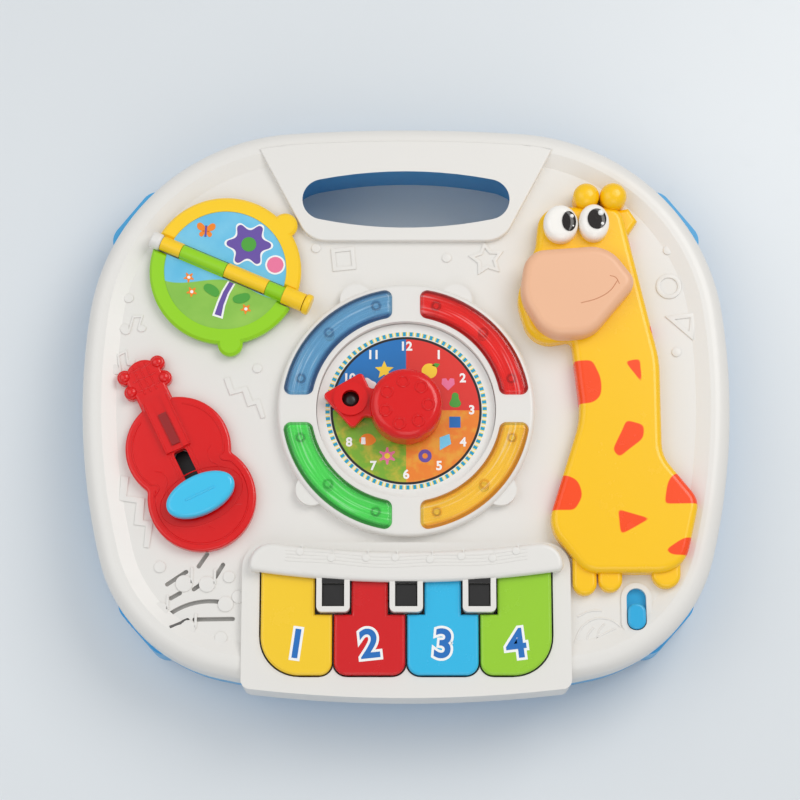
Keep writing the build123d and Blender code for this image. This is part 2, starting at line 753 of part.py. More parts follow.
tub = dish(-TUB_INSET, 0, TUB_ROUND)
hollow = dish(-TUB_INSET - WALL, WALL, TUB_ROUND - WALL)
with BuildPart() as bottom_shell:
    add(tub)
    with BuildSketch(level(TUB_ROUND)):
        shoulder_y = BODY_BACK + SHOULDER_PROUD - SHOULDER_RADIUS
        with Locations(both_sides([(SHOULDER_X, shoulder_y)])):
            Circle(SHOULDER_RADIUS)
    extrude(amount=TUB_HEIGHT - TUB_ROUND)
    with BuildSketch(level(TUB_HEIGHT - 2 * WALL)):
        add(block_outline(-TUB_INSET))
    extrude(amount=2 * WALL)
    add(hollow, mode=Mode.SUBTRACT)
    # wall round the finger hole
    with BuildSketch(level(WALL)):
        add(handle_hole(HOLE_FLARE + WALL))
    extrude(amount=TUB_HEIGHT - WALL)
    with BuildSketch():
        add(handle_hole(HOLE_FLARE))
    extrude(amount=TUB_HEIGHT, mode=Mode.SUBTRACT)
    # shelves over the leg sockets, and the open notches that the sockets stand in
    for name, x, y, angle in sockets():
        with BuildSketch(level(SOCKET_HEIGHT)):
            with Locations(Location((x, y), angle)):
                RectangleRounded(
                    SOCKET_SIZE + 2 * SHELF_MARGIN, SOCKET_SIZE + 2 * SHELF_MARGIN, SOCKET_CORNER
                )
            add(body_outline(-TUB_INSET - WALL / 2), mode=Mode.INTERSECT)
        extrude(amount=TUB_HEIGHT - SOCKET_HEIGHT)
        with BuildSketch(turned(x, y, 0, angle)):
            RectangleRounded(SOCKET_SIZE + 2 * GAP, SOCKET_SIZE + 2 * GAP, SOCKET_CORNER + GAP)
        extrude(amount=SOCKET_HEIGHT, mode=Mode.SUBTRACT)
    # battery bay, door ledge and the boss of the door screw
    with BuildSketch(level(WALL)):
        with Locations((0, DOOR_Y)):
            Rectangle(DOOR_LENGTH + 2 * BAY_WALL, DOOR_WIDTH + 2 * BAY_WALL)
    extrude(amount=DOOR_THICKNESS)
    with BuildSketch(level(WALL)):
        with Locations((0, BAY_Y)):
            Rectangle(BAY_LENGTH + 2 * BAY_WALL, BAY_WIDTH + 2 * BAY_WALL)
    extrude(amount=BAY_ROOF + BAY_WALL - WALL)
    with BuildSketch(level(WALL)):
        with Locations((0, DOOR_SCREW_Y)):
            Circle(POST_RADIUS)
    extrude(amount=DOOR_BOSS_HEIGHT)
    with BuildSketch():
        with Locations((0, DOOR_Y)):
            Rectangle(DOOR_LENGTH + GAP, DOOR_WIDTH + GAP)
    extrude(amount=DOOR_THICKNESS, mode=Mode.SUBTRACT)
    with BuildSketch(level(DOOR_THICKNESS)):
        with Locations((0, BAY_Y)):
            Rectangle(BAY_LENGTH, BAY_WIDTH)
    extrude(amount=BAY_ROOF - DOOR_THICKNESS, mode=Mode.SUBTRACT)
    with BuildSketch(level(DOOR_THICKNESS)):
        with Locations((0, DOOR_SCREW_Y)):
            Circle(DOOR_SCREW_SHANK)
    extrude(amount=DOOR_BOSS_HEIGHT - DOOR_THICKNESS, mode=Mode.SUBTRACT)
    # posts of the case screws and of the main board
    with BuildSketch(level(WALL)):
        with Locations(both_sides(CASE_SCREWS)):
            Circle(POST_RADIUS)
    extrude(amount=TUB_HEIGHT - WALL)
    with BuildSketch(level(WALL)):
        with Locations(POST_CORNERS):
            Circle(POST_RADIUS / 2)
    extrude(amount=BOARD_POST_HEIGHT)
    with BuildSketch():
        with Locations(both_sides(CASE_SCREWS)):
            Circle(SCREW_SHANK + GAP)
    extrude(amount=TUB_HEIGHT, mode=Mode.SUBTRACT)
    with BuildSketch():
        with Locations(both_sides(CASE_SCREWS)):
            Circle(SCREW_HEAD + GAP)
    extrude(amount=SCREW_SINK, mode=Mode.SUBTRACT)
bottom_shell.part.label = "bottom_shell"
export_step(bottom_shell.part, "parts/bottom_shell.step")

# ---- Leg sockets ---------------------------------------------------------------------------
for name, x, y, angle in sockets():
    with BuildPart() as leg_socket:
        with BuildSketch(turned(x, y, 0, angle)):
            RectangleRounded(SOCKET_SIZE, SOCKET_SIZE, SOCKET_CORNER)
        extrude(amount=SOCKET_HEIGHT)
        with BuildSketch(turned(x, y, 0, angle)):
            Circle(LEG_BORE / 2)
        extrude(amount=LEG_DEPTH, mode=Mode.SUBTRACT)
    leg_socket.part.label = "leg_socket_" + name
    export_step(leg_socket.part, "parts/leg_socket_" + name + ".step")

# ---- Case screws ---------------------------------------------------------------------------
with BuildPart() as case_screws:
    with BuildSketch(level(SCREW_SINK - SCREW_HEAD_HEIGHT)):
        with Locations(both_sides(CASE_SCREWS)):
            Circle(SCREW_HEAD)
    extrude(amount=SCREW_HEAD_HEIGHT)
    with BuildSketch(level(SCREW_SINK)):
        with Locations(both_sides(CASE_SCREWS)):
            Circle(SCREW_SHANK)
    extrude(amount=TUB_HEIGHT + SCREW_BITE - SCREW_SINK)
case_screws.part.label = "case_screws"
export_step(case_screws.part, "parts/case_screws.step")

# ---- Battery bay ---------------------------------------------------------------------------
with BuildPart() as battery_door:
    with BuildSketch():
        with Locations((0, DOOR_Y)):
            Rectangle(DOOR_LENGTH, DOOR_WIDTH)
    extrude(amount=DOOR_THICKNESS)
    with Locations(Location((0, DOOR_SCREW_Y, 0), (180, 0, 0))):
        CounterSinkHole(
            DOOR_SCREW_SHANK + GAP, DOOR_THICKNESS + DOOR_SCREW_SHANK, counter_sink_angle=90
        )
battery_door.part.label = "battery_door"
export_step(battery_door.part, "parts/battery_door.step")

with BuildPart() as battery_door_screw:
    with BuildSketch(Plane.XZ.offset(-DOOR_SCREW_Y)):
        with BuildLine():
            Polyline(
                (0, 0),
                (DOOR_THICKNESS + DOOR_SCREW_SHANK - GAP, 0),
                (DOOR_SCREW_SHANK, DOOR_THICKNESS - GAP),
                (DOOR_SCREW_SHANK, DOOR_BOSS_HEIGHT - GAP),
                (0, DOOR_BOSS_HEIGHT - GAP),
                close=True,
            )
        make_face()
    revolve(axis=Axis((0, DOOR_SCREW_Y, 0), (0, 0, 1)))
battery_door_screw.part.label = "battery_door_screw"
export_step(battery_door_screw.part, "parts/battery_door_screw.step")

CELL_ENDS = [1, -1, 1]
with BuildPart() as batteries:
    for row, end in enumerate(CELL_ENDS):
        y = BAY_Y + (row - 1) * CELL_PITCH
        x = end * (CONTACT_SHEET + CONTACT_TRAVEL - BAY_LENGTH / 2)
        with BuildSketch(Plane(origin=(x, y, CELL_Z), z_dir=(end, 0, 0))):
            Circle(CELL_RADIUS)
        extrude(amount=CELL_LENGTH)
        with BuildSketch(Plane(origin=(x, y, CELL_Z), z_dir=(end, 0, 0))):
            Circle(CELL_RADIUS / 3)
        extrude(amount=CELL_LENGTH + CELL_NUB)
batteries.part.label = "batteries"
export_step(batteries.part, "parts/batteries.step")

CONTACT_WIDTH = 1.4 * CELL_RADIUS
with BuildPart() as battery_contacts:
    for end in (-1, 1):
        with BuildSketch(Plane(origin=(end * BAY_LENGTH / 2, BAY_Y, CELL_Z), z_dir=(-end, 0, 0))):
            Rectangle(CONTACT_WIDTH, BAY_WIDTH - 2 * BAY_WALL)
        extrude(amount=CONTACT_SHEET)
    for row, end in enumerate(CELL_ENDS):
        y = BAY_Y + (row - 1) * CELL_PITCH
        x = end * (CONTACT_SHEET - BAY_LENGTH / 2)
        with Locations(Location(Plane(origin=(x, y, CELL_Z), z_dir=(end, 0, 0)))):
            Cone(
                CELL_RADIUS / 2,
                CELL_RADIUS / 3,
                CONTACT_TRAVEL,
                align=(Align.CENTER, Align.CENTER, Align.MIN),
            )
battery_contacts.part.label = "battery_contacts"
export_step(battery_contacts.part, "parts/battery_contacts.step")

# ---- Main board ----------------------------------------------------------------------------
CHIP_RADIUS = 6.0
CHIP_HEIGHT = 2.0
with BuildPart() as main_board:
    with BuildSketch(level(BOARD_Z)):
        with Locations((BOARD_X, BOARD_Y)):
            Rectangle(*BOARD_SIZE)
    extrude(amount=BOARD)
    with BuildSketch(level(BOARD_Z + BOARD)):
        with Locations((BOARD_X, BOARD_Y)):
            Circle(CHIP_RADIUS)
    extrude(amount=CHIP_HEIGHT)
    fillet(main_board.edges().group_by(Axis.Z)[-1], CHIP_HEIGHT / 2)
main_board.part.label = "main_board"
export_step(main_board.part, "parts/main_board.step")

# ---- Key tray ------------------------------------------------------------------------------
RIB = 2.4
RIB_HALF_DEPTH = 3.6
RIB_RISE = 2.0
RIB_TOP = HINGE_Z + RIB_RISE
CHEEKS_X = [side * (WELL_HALF - RIB / 2) for side in (-1, 1)]
LEDGE_TOP = HINGE_Z - EYE_RADIUS - 2 * GAP
LEDGE_DEPTH = 3.2
KEY_BOARD_INSET = 3.0
KEY_BOARD_HALF = WELL_HALF - KEY_BOARD_INSET
KEY_BOARD_DEPTH = 22.0
PEG_INSET = (4.0, 3.0)
PEGS = [
    (KEY_BOARD_HALF - PEG_INSET[0], DOME_Y + side * (KEY_BOARD_DEPTH / 2 - PEG_INSET[1]))
    for side in (-1, 1)
]
PEG = 1.2
PEG_REACH = BOARD + 1.0

with BuildPart() as key_tray:
    with BuildSketch(level(TRAY_FLOOR_Z)):
        with Locations((0, (WELL_BACK_Y + WELL_FRONT_Y) / 2)):
            Rectangle(
                2 * (WELL_HALF + TRAY_SHEET), WELL_BACK_Y - WELL_FRONT_Y + 2 * TRAY_SHEET
            )
    extrude(amount=ROOF_Z - TRAY_FLOOR_Z)
    with BuildSketch(level(ROOF_Z - EAR_SHEET)):
        for root, ear in zip(both_sides(EAR_ROOTS), both_sides(TRAY_EARS)):
            SlotCenterPoint((Vector(*root) + Vector(*ear)) / 2, ear, 2 * EAR_RADIUS)
    extrude(amount=EAR_SHEET)
    with BuildSketch(level(ROOF_Z - EAR_SHEET)):
        with Locations(both_sides(TRAY_EARS)):
            Circle(SCREW_SHANK + GAP)
    extrude(amount=EAR_SHEET, mode=Mode.SUBTRACT)
    with BuildSketch(level(TRAY_FLOOR_Z + TRAY_SHEET)):
        with Locations((0, (WELL_BACK_Y + WELL_FRONT_Y) / 2)):
            Rectangle(2 * WELL_HALF, WELL_BACK_Y - WELL_FRONT_Y)
    extrude(amount=ROOF_Z - TRAY_FLOOR_Z - TRAY_SHEET, mode=Mode.SUBTRACT)
    # ledge under the key tails, and ribs with open slots for the hinge rod
    with BuildSketch(level(TRAY_FLOOR_Z)):
        with Locations((0, WELL_BACK_Y - LEDGE_DEPTH / 2)):
            Rectangle(2 * WELL_HALF, LEDGE_DEPTH)
    extrude(amount=LEDGE_TOP - TRAY_FLOOR_Z)
    with BuildSketch(level(TRAY_FLOOR_Z)):
        with Locations([(x, KEY_HINGE_Y) for x in SHARPS_X + CHEEKS_X]):
            Rectangle(RIB, 2 * RIB_HALF_DEPTH)
    extrude(amount=RIB_TOP - TRAY_FLOOR_Z)
    with BuildSketch(Plane.YZ.offset(-WELL_HALF)):
        with Locations((KEY_HINGE_Y, HINGE_Z)):
            Circle(ROD_RADIUS)
        with Locations((KEY_HINGE_Y, HINGE_Z + ROD_RADIUS)):
            Rectangle(2 * ROD_RADIUS, 2 * ROD_RADIUS)
    extrude(amount=2 * WELL_HALF, mode=Mode.SUBTRACT)
    # openings for the rubber domes and pegs for the board
    with BuildSketch(level(TRAY_FLOOR_Z)):
        with Locations([(x, DOME_Y) for x in KEYS_X]):
            Circle(DOME_BASE + GAP)
    extrude(amount=TRAY_SHEET, mode=Mode.SUBTRACT)
    with BuildSketch(level(TRAY_FLOOR_Z - PEG_REACH)):
        with Locations(both_sides(PEGS)):
            Circle(PEG)
    extrude(amount=PEG_REACH)
key_tray.part.label = "key_tray"
export_step(key_tray.part, "parts/key_tray.step")

with BuildPart() as tray_screws:
    with BuildSketch(level(ROOF_Z - EAR_SHEET - SCREW_HEAD_HEIGHT)):
        with Locations(both_sides(TRAY_EARS)):
            Circle(SCREW_HEAD)
    extrude(amount=SCREW_HEAD_HEIGHT)
    with BuildSketch(level(ROOF_Z - EAR_SHEET)):
        with Locations(both_sides(TRAY_EARS)):
            Circle(SCREW_SHANK)
    extrude(amount=EAR_SHEET + TRAY_SCREW_BITE)
tray_screws.part.label = "tray_screws"
export_step(tray_screws.part, "parts/tray_screws.step")

with BuildPart() as key_board:
    with BuildSketch(level(TRAY_FLOOR_Z - BOARD)):
        with Locations((0, DOME_Y)):
            Rectangle(2 * KEY_BOARD_HALF, KEY_BOARD_DEPTH)
        with Locations(both_sides(PEGS)):
            Circle(PEG + RUNNING, mode=Mode.SUBTRACT)
    extrude(amount=BOARD)
key_board.part.label = "key_board"
export_step(key_board.part, "parts/key_board.step")

with BuildPart() as key_hinge_rod:
    with BuildSketch(Plane.YZ.offset(-WELL_HALF)):
        with Locations((KEY_HINGE_Y, HINGE_Z)):
            Circle(ROD_RADIUS)
    extrude(amount=2 * WELL_HALF)
key_hinge_rod.part.label = "key_hinge_rod"
export_step(key_hinge_rod.part, "parts/key_hinge_rod.step")

# ---- Keys ----------------------------------------------------------------------------------
KEY_BACK_Y = WELL_BACK_Y - KEY_MARGIN
PLATE_Z = KEY_TOP - KEY_SHEET
SKIRT_Z = KEY_TOP - KEY_SKIRT
SKIRT_CLEAR = 1.0
SKIRT_BACK_Y = KEY_HINGE_Y - RIB_HALF_DEPTH - SKIRT_CLEAR
NOTCH_HALF = SHARP_WIDTH / 2 + SHARP_GAP
NOTCH_FRONT_Y = SHARP_FRONT_Y - SHARP_GAP
PLUNGER_RADIUS = 3.0
DOME_TOP = TRAY_FLOOR_Z + DOME_HEIGHT


def key_outline(number, inset, back):
    """Plan of one key, notched beside the sharps, from its front edge to a line at the back."""
    middle = KEYS_X[number]
    half = KEY_WIDTH / 2 - inset
    front = KEY_FRONT_Y + inset
    left_round = KEY_END_ROUND if number == 0 else KEY_CORNER_ROUND
    right_round = KEY_END_ROUND if number == KEY_COUNT - 1 else KEY_CORNER_ROUND
    with BuildSketch() as outline:
        with Locations((middle, (front + back) / 2)):
            Rectangle(2 * half, back - front)
        front_corners = outline.vertices().group_by(Axis.Y)[0].sort_by(Axis.X)
        fillet(front_corners[0], left_round - inset)
        front_corners = outline.vertices().group_by(Axis.Y)[0].sort_by(Axis.X)
        fillet(front_corners[-1], right_round - inset)
        for sharp in SHARPS_X:
            with Locations((sharp, (NOTCH_FRONT_Y - inset + back) / 2)):
                Rectangle(
                    2 * (NOTCH_HALF + inset), back - NOTCH_FRONT_Y + inset, mode=Mode.SUBTRACT
                )
    return outline.sketch


def back_middle(number):
    """Middle of the narrow part of a key between its notches."""
    left = KEYS_X[number] - (KEY_WIDTH / 2 if number == 0 else KEY_PITCH / 2 - NOTCH_HALF)
    last = number == KEY_COUNT - 1
    right = KEYS_X[number] + (KEY_WIDTH / 2 if last else KEY_PITCH / 2 - NOTCH_HALF)
    return (left + right) / 2


for number in range(KEY_COUNT):
    with BuildPart() as key:
        with BuildSketch(level(PLATE_Z)):
            add(key_outline(number, 0, KEY_BACK_Y))
        extrude(amount=KEY_SHEET)
        fillet(key.edges().group_by(Axis.Z)[-1], KEY_ROUND)
        with BuildSketch(level(SKIRT_Z)):
            add(key_outline(number, 0, SKIRT_BACK_Y))
        extrude(amount=KEY_SKIRT - KEY_SHEET)
        with BuildSketch(level(SKIRT_Z)):
            add(key_outline(number, KEY_SHEET, SKIRT_BACK_Y - KEY_SHEET))
        extrude(amount=KEY_SKIRT - KEY_SHEET, mode=Mode.SUBTRACT)
        # hinge eyes, tail and plunger
        for side in (-1, 1):
            eye_x = back_middle(number) + side * EYE_SPREAD - EYE_WIDTH / 2
            with BuildSketch(Plane.YZ.offset(eye_x)):
                with Locations((KEY_HINGE_Y, HINGE_Z)):
                    Circle(EYE_RADIUS)
                with Locations((KEY_HINGE_Y, (HINGE_Z + PLATE_Z) / 2)):
                    Rectangle(2 * EYE_RADIUS, PLATE_Z - HINGE_Z)
            extrude(amount=EYE_WIDTH)
        with BuildSketch(Plane.YZ.offset(back_middle(number) - EYE_SPREAD)):
            with Locations((KEY_BACK_Y - TAIL_DEPTH / 2, (LEDGE_TOP + GAP + PLATE_Z) / 2)):
                Rectangle(TAIL_DEPTH, PLATE_Z - LEDGE_TOP - GAP)
        extrude(amount=2 * EYE_SPREAD)
        with BuildSketch(Plane.YZ.offset(-WELL_HALF)):
            with Locations((KEY_HINGE_Y, HINGE_Z)):
                Circle(ROD_RADIUS + RUNNING)
        extrude(amount=2 * WELL_HALF, mode=Mode.SUBTRACT)
        with BuildSketch(level(DOME_TOP)):
            with Locations((KEYS_X[number], DOME_Y)):
                Circle(PLUNGER_RADIUS)
        extrude(amount=PLATE_Z - DOME_TOP)
    key.part.label = "key_" + str(number + 1)
    export_step(key.part, "parts/key_" + str(number + 1) + ".step")

    with BuildPart() as key_dome:
        with BuildSketch(level(TRAY_FLOOR_Z)):
            with Locations((KEYS_X[number], DOME_Y)):
                Circle(DOME_BASE)
        with BuildSketch(level(DOME_TOP)):
            with Locations((KEYS_X[number], DOME_Y)):
                Circle(DOME_TIP)
        loft()
    key_dome.part.label = "key_dome_" + str(number + 1)
    export_step(key_dome.part, "parts/key_dome_" + str(number + 1) + ".step")

# ---- Key hood and sharps -------------------------------------------------------------------
SHARP_FOOT = KEY_TOP - SHARP_DEPTH
SHARP_TOP = KEY_TOP + SHARP_RISE
with BuildPart() as key_hood:
    with BuildSketch(level(BLOCK_Z)) as hood_outline:
        with BuildLine():
            ThreePointArc(
                (-HOOD_HALF, HOOD_BACK_Y), (0, HOOD_BACK_Y - HOOD_BOW), (HOOD_HALF, HOOD_BACK_Y)
            )
            Line((HOOD_HALF, HOOD_BACK_Y), (HOOD_HALF, HOOD_FRONT_Y))
            ThreePointArc(
                (HOOD_HALF, HOOD_FRONT_Y), (0, HOOD_FRONT_Y - HOOD_BOW), (-HOOD_HALF, HOOD_FRONT_Y)
            )
            Line((-HOOD_HALF, HOOD_FRONT_Y), (-HOOD_HALF, HOOD_BACK_Y))
        make_face()
        fillet(hood_outline.vertices().group_by(Axis.Y)[-1], HOOD_END)
        fillet(hood_outline.vertices().group_by(Axis.Y)[0], HOOD_TIP)
    extrude(amount=HOOD_HEIGHT)
    fillet(key_hood.edges().group_by(Axis.Z)[-1], HOOD_ROUND)
    with BuildSketch(level(BLOCK_Z)):
        with Locations((0, (WELL_BACK_Y + WELL_FRONT_Y) / 2)):
            Rectangle(2 * WELL_HALF, WELL_BACK_Y - WELL_FRONT_Y)
    extrude(amount=HOOD_HEIGHT - HOOD_SHEET, mode=Mode.SUBTRACT)
    with BuildSketch(level(SHARP_FOOT)) as rims:
        with Locations([(x, (SHARP_BACK_Y + SHARP_FRONT_Y) / 2) for x in SHARPS_X]):
            Rectangle(SHARP_WIDTH, SHARP_BACK_Y - SHARP_FRONT_Y)
        fillet(rims.vertices().group_by(Axis.Y)[0], SHARP_CORNER)
    extrude(amount=SHARP_TOP - SHARP_FOOT)
    with BuildSketch(level(SHARP_FOOT + SHARP_FLOOR)):
        recess_front = SHARP_FRONT_Y + SHARP_RIM
        with Locations([(x, (SHARP_RECESS_Y + recess_front) / 2) for x in SHARPS_X]):
            Rectangle(SHARP_WIDTH - 2 * SHARP_RIM, SHARP_RECESS_Y - recess_front)
    extrude(amount=SHARP_TOP - SHARP_FOOT, mode=Mode.SUBTRACT)
key_hood.part.label = "key_hood"
export_step(key_hood.part, "parts/key_hood.step")

with BuildPart() as sharp_inserts:
    with BuildSketch(level(SHARP_FOOT + SHARP_FLOOR)):
        with Locations([(x, (SHARP_RECESS_Y + recess_front) / 2) for x in SHARPS_X]):
            Rectangle(
                SHARP_WIDTH - 2 * SHARP_RIM - 2 * RUNNING,
                SHARP_RECESS_Y - recess_front - 2 * RUNNING,
            )
    extrude(amount=SHARP_TOP - SHARP_SINK - SHARP_FOOT - SHARP_FLOOR)
    fillet(sharp_inserts.edges().group_by(Axis.Z)[-1], SHARP_SINK / 2)
sharp_inserts.part.label = "sharp_inserts"
export_step(sharp_inserts.part, "parts/sharp_inserts.step")

# ---- Clock ---------------------------------------------------------------------------------
LENS_MIDDLE = (LENS_OUTER + LENS_INNER) / 2
LENS_SCREW_TOP = 60.0
LUG_DROP = 2.0
with BuildPart() as clock_bezel:
    with BuildSketch(level(DECK_Z)):
        with Locations((0, CLOCK_Y)):
            Circle(BEZEL_RADIUS)
    extrude(amount=BEZEL_RISE)
    fillet(clock_bezel.edges().group_by(Axis.Z)[-1], BEZEL_ROUND)
    with BuildSketch(level(DECK_Z)):
        for angle in LUG_ANGLES:
            with Locations(
                (LUG_REACH * cos(radians(angle)), CLOCK_Y + LUG_REACH * sin(radians(angle)))
            ):
                Circle(LUG_RADIUS)
    extrude(amount=BEZEL_RISE - LUG_DROP)
    with BuildSketch(level(DECK_Z)):
        with Locations((0, CLOCK_Y)):
            Circle(BEZEL_BORE)
        for quarter in range(4):
            add(lens_outline(quarter, LENS_SEAT))
    extrude(amount=BEZEL_RISE, mode=Mode.SUBTRACT)
clock_bezel.part.label = "clock_bezel"
export_step(clock_bezel.part, "parts/clock_bezel.step")

for quarter, colour in enumerate(("red", "blue", "green", "yellow")):
    with BuildPart() as lens:
        with BuildSketch(level(DECK_Z)):
            add(lens_outline(quarter))
        extrude(amount=LENS_RISE)
        fillet(lens.edges().group_by(Axis.Z)[-1], LENS_ROUND)
        with BuildSketch(level(DECK_Z)):
            add(lens_outline(quarter, -LENS_SHEET))
        extrude(amount=LENS_RISE - LENS_SHEET, mode=Mode.SUBTRACT)
        with BuildSketch(level(DECK_Z)):
            with Locations((0, CLOCK_Y)):
                with PolarLocations(
                    LENS_MIDDLE,
                    2,
                    start_angle=45 + 90 * quarter - LENS_SCREW_ANGLE,
                    angular_range=2 * LENS_SCREW_ANGLE,
                    endpoint=True,
                ):
                    Circle(LENS_BOSS)
                    Circle(SCREW_SHANK, mode=Mode.SUBTRACT)
        extrude(amount=LENS_RISE - LENS_SHEET)
    lens.part.label = "lens_" + colour
    export_step(lens.part, "parts/lens_" + colour + ".step")

with BuildPart() as lens_screws:
    for height, radius, reach in (
        (ROOF_Z - SCREW_HEAD_HEIGHT, SCREW_HEAD, SCREW_HEAD_HEIGHT),
        (ROOF_Z, SCREW_SHANK, LENS_SCREW_TOP - ROOF_Z),
    ):
        with BuildSketch(level(height)):
            with Locations((0, CLOCK_Y)):
                for side in (-1, 1):
                    with PolarLocations(LENS_MIDDLE, 4, 45 + side * LENS_SCREW_ANGLE):
                        Circle(radius)
        extrude(amount=reach)
lens_screws.part.label = "lens_screws"
export_step(lens_screws.part, "parts/lens_screws.step")

LED_RISE = 3.0
LED_HEIGHT = DECK_Z + LED_RISE - DIAL_BOARD_Z
with BuildPart() as lens_leds:
    with BuildSketch(level(DIAL_BOARD_Z)):
        with Locations((0, CLOCK_Y)):
            with PolarLocations(LENS_MIDDLE, 4, start_angle=45):
                Circle(LED_RADIUS)
    extrude(amount=LED_HEIGHT)
    fillet(lens_leds.edges().group_by(Axis.Z)[-1], LED_RADIUS - GAP)
lens_leds.part.label = "lens_leds"
export_step(lens_leds.part, "parts/lens_leds.step")

with BuildPart() as dial_board:
    with BuildSketch(level(DIAL_BOARD_Z - BOARD)):
        with Locations((0, CLOCK_Y)):
            Circle(DIAL_BOARD_RADIUS)
            Circle(DIAL_BOARD_BORE, mode=Mode.SUBTRACT)
    extrude(amount=BOARD)
dial_board.part.label = "dial_board"
export_step(dial_board.part, "parts/dial_board.step")

SPINDLE_CLEAR = 1.0
with BuildPart() as dial_plate:
    with BuildSketch(level(DECK_Z)):
        with Locations((0, CLOCK_Y)):
            Circle(BEZEL_BORE - GAP)
            Circle(SPINDLE_RADIUS + SPINDLE_CLEAR, mode=Mode.SUBTRACT)
    extrude(amount=DIAL_SHEET)
dial_plate.part.label = "dial_plate"
export_step(dial_plate.part, "parts/dial_plate.step")

HAND_Z = DIAL_Z + KNOB_FLOAT
SPINDLE_FOOT = SPINDLE_BOSS_Z - GAP
HAND_SCREW_BITE = 8.0
WASHER = 1.2
POINTER_NOTCH = (22.0, 8.0)
POINTER_RING_RISE = 2.0
with BuildPart() as clock_hand:
    with BuildSketch(turned(0, CLOCK_Y, HAND_Z, POINTER_ANGLE)):
        with BuildLine():
            Polyline(
                (POINTER_REACH, 0),
                (POINTER_BARB, POINTER_HALF),
                POINTER_NOTCH,
                (SPINDLE_RADIUS, POINTER_NOTCH[1]),
                (SPINDLE_RADIUS, -POINTER_NOTCH[1]),
                (POINTER_NOTCH[0], -POINTER_NOTCH[1]),
                (POINTER_BARB, -POINTER_HALF),
                close=True,
            )
        make_face()
    extrude(amount=POINTER_SHEET)
    fillet(clock_hand.edges().filter_by(Axis.Z), POINTER_SHEET / 2)
    fillet(clock_hand.edges().group_by(Axis.Z)[-1], POINTER_SHEET / 5)
    with BuildSketch(turned(0, CLOCK_Y, HAND_Z, POINTER_ANGLE)):
        with Locations((POINTER_RING, 0)):
            Circle(POINTER_RING_OUTER)
    extrude(amount=POINTER_SHEET + POINTER_RING_RISE)
    with BuildSketch(level(HAND_Z)):
        with Locations((0, CLOCK_Y)):
            Circle(KNOB_RADIUS)
    extrude(amount=KNOB_HEIGHT)
    fillet(clock_hand.edges().group_by(Axis.Z)[-1], KNOB_ROUND)
    with BuildSketch(turned(0, CLOCK_Y, HAND_Z, POINTER_ANGLE)):
        with Locations((POINTER_RING, 0)):
            Circle(POINTER_EYE)
    extrude(amount=POINTER_SHEET + POINTER_RING_RISE, mode=Mode.SUBTRACT)
    # shoulder over the dial, spindle through the bearing and hole of its screw
    with BuildSketch(level(DIAL_Z + GAP)):
        with Locations((0, CLOCK_Y)):
            Circle(SPINDLE_BOSS)
    extrude(amount=KNOB_FLOAT - GAP)
    with BuildSketch(level(SPINDLE_FOOT)):
        with Locations((0, CLOCK_Y)):
            Circle(SPINDLE_RADIUS)
    extrude(amount=HAND_Z - SPINDLE_FOOT)
    with BuildSketch(level(SPINDLE_FOOT)):
        with Locations((0, CLOCK_Y)):
            Circle(SCREW_SHANK)
    extrude(amount=HAND_SCREW_BITE, mode=Mode.SUBTRACT)
clock_hand.part.label = "clock_hand"
export_step(clock_hand.part, "parts/clock_hand.step")

with BuildPart() as knob_washer:
    with BuildSketch(level(SPINDLE_FOOT - WASHER)):
        with Locations((0, CLOCK_Y)):
            Circle(SPINDLE_BOSS)
            Circle(SCREW_SHANK, mode=Mode.SUBTRACT)
    extrude(amount=WASHER)
knob_washer.part.label = "knob_washer"
export_step(knob_washer.part, "parts/knob_washer.step")

with BuildPart() as knob_screw:
    with BuildSketch(level(SPINDLE_FOOT - WASHER - SCREW_HEAD_HEIGHT)):
        with Locations((0, CLOCK_Y)):
            Circle(SCREW_HEAD)
    extrude(amount=SCREW_HEAD_HEIGHT)
    with BuildSketch(level(SPINDLE_FOOT - WASHER)):
        with Locations((0, CLOCK_Y)):
            Circle(SCREW_SHANK)
    extrude(amount=WASHER + HAND_SCREW_BITE)
knob_screw.part.label = "knob_screw"
export_step(knob_screw.part, "parts/knob_screw.step")

# ---- Picture book --------------------------------------------------------------------------
PAGE_EDGE = TUBE_RADIUS + 2 * GAP
CAP_CLEAR = CAP_RADIUS + 2 * GAP
CAP_WEB_END = 41.0
CAP_NOTCH_CLEAR = 3.0
CAP_NOTCH = (CAP_SPAN[0] - GAP, CAP_WEB_END + CAP_NOTCH_CLEAR)


def half_disc(radius, tab, side):
    """Half disc on one side of the hinge tube, with a finger tab on its rim."""
    with BuildSketch() as outline:
        Circle(radius)
        if tab:
            tilt = radians(side * TAB_ANGLE)
            with Locations((radius * cos(tilt), radius * sin(tilt))):
                Circle(TAB_RADIUS)
        with Locations((0, side * (PAGE_EDGE + radius))):
            Rectangle(4 * radius, 2 * radius, mode=Mode.INTERSECT)
    return outline.sketch


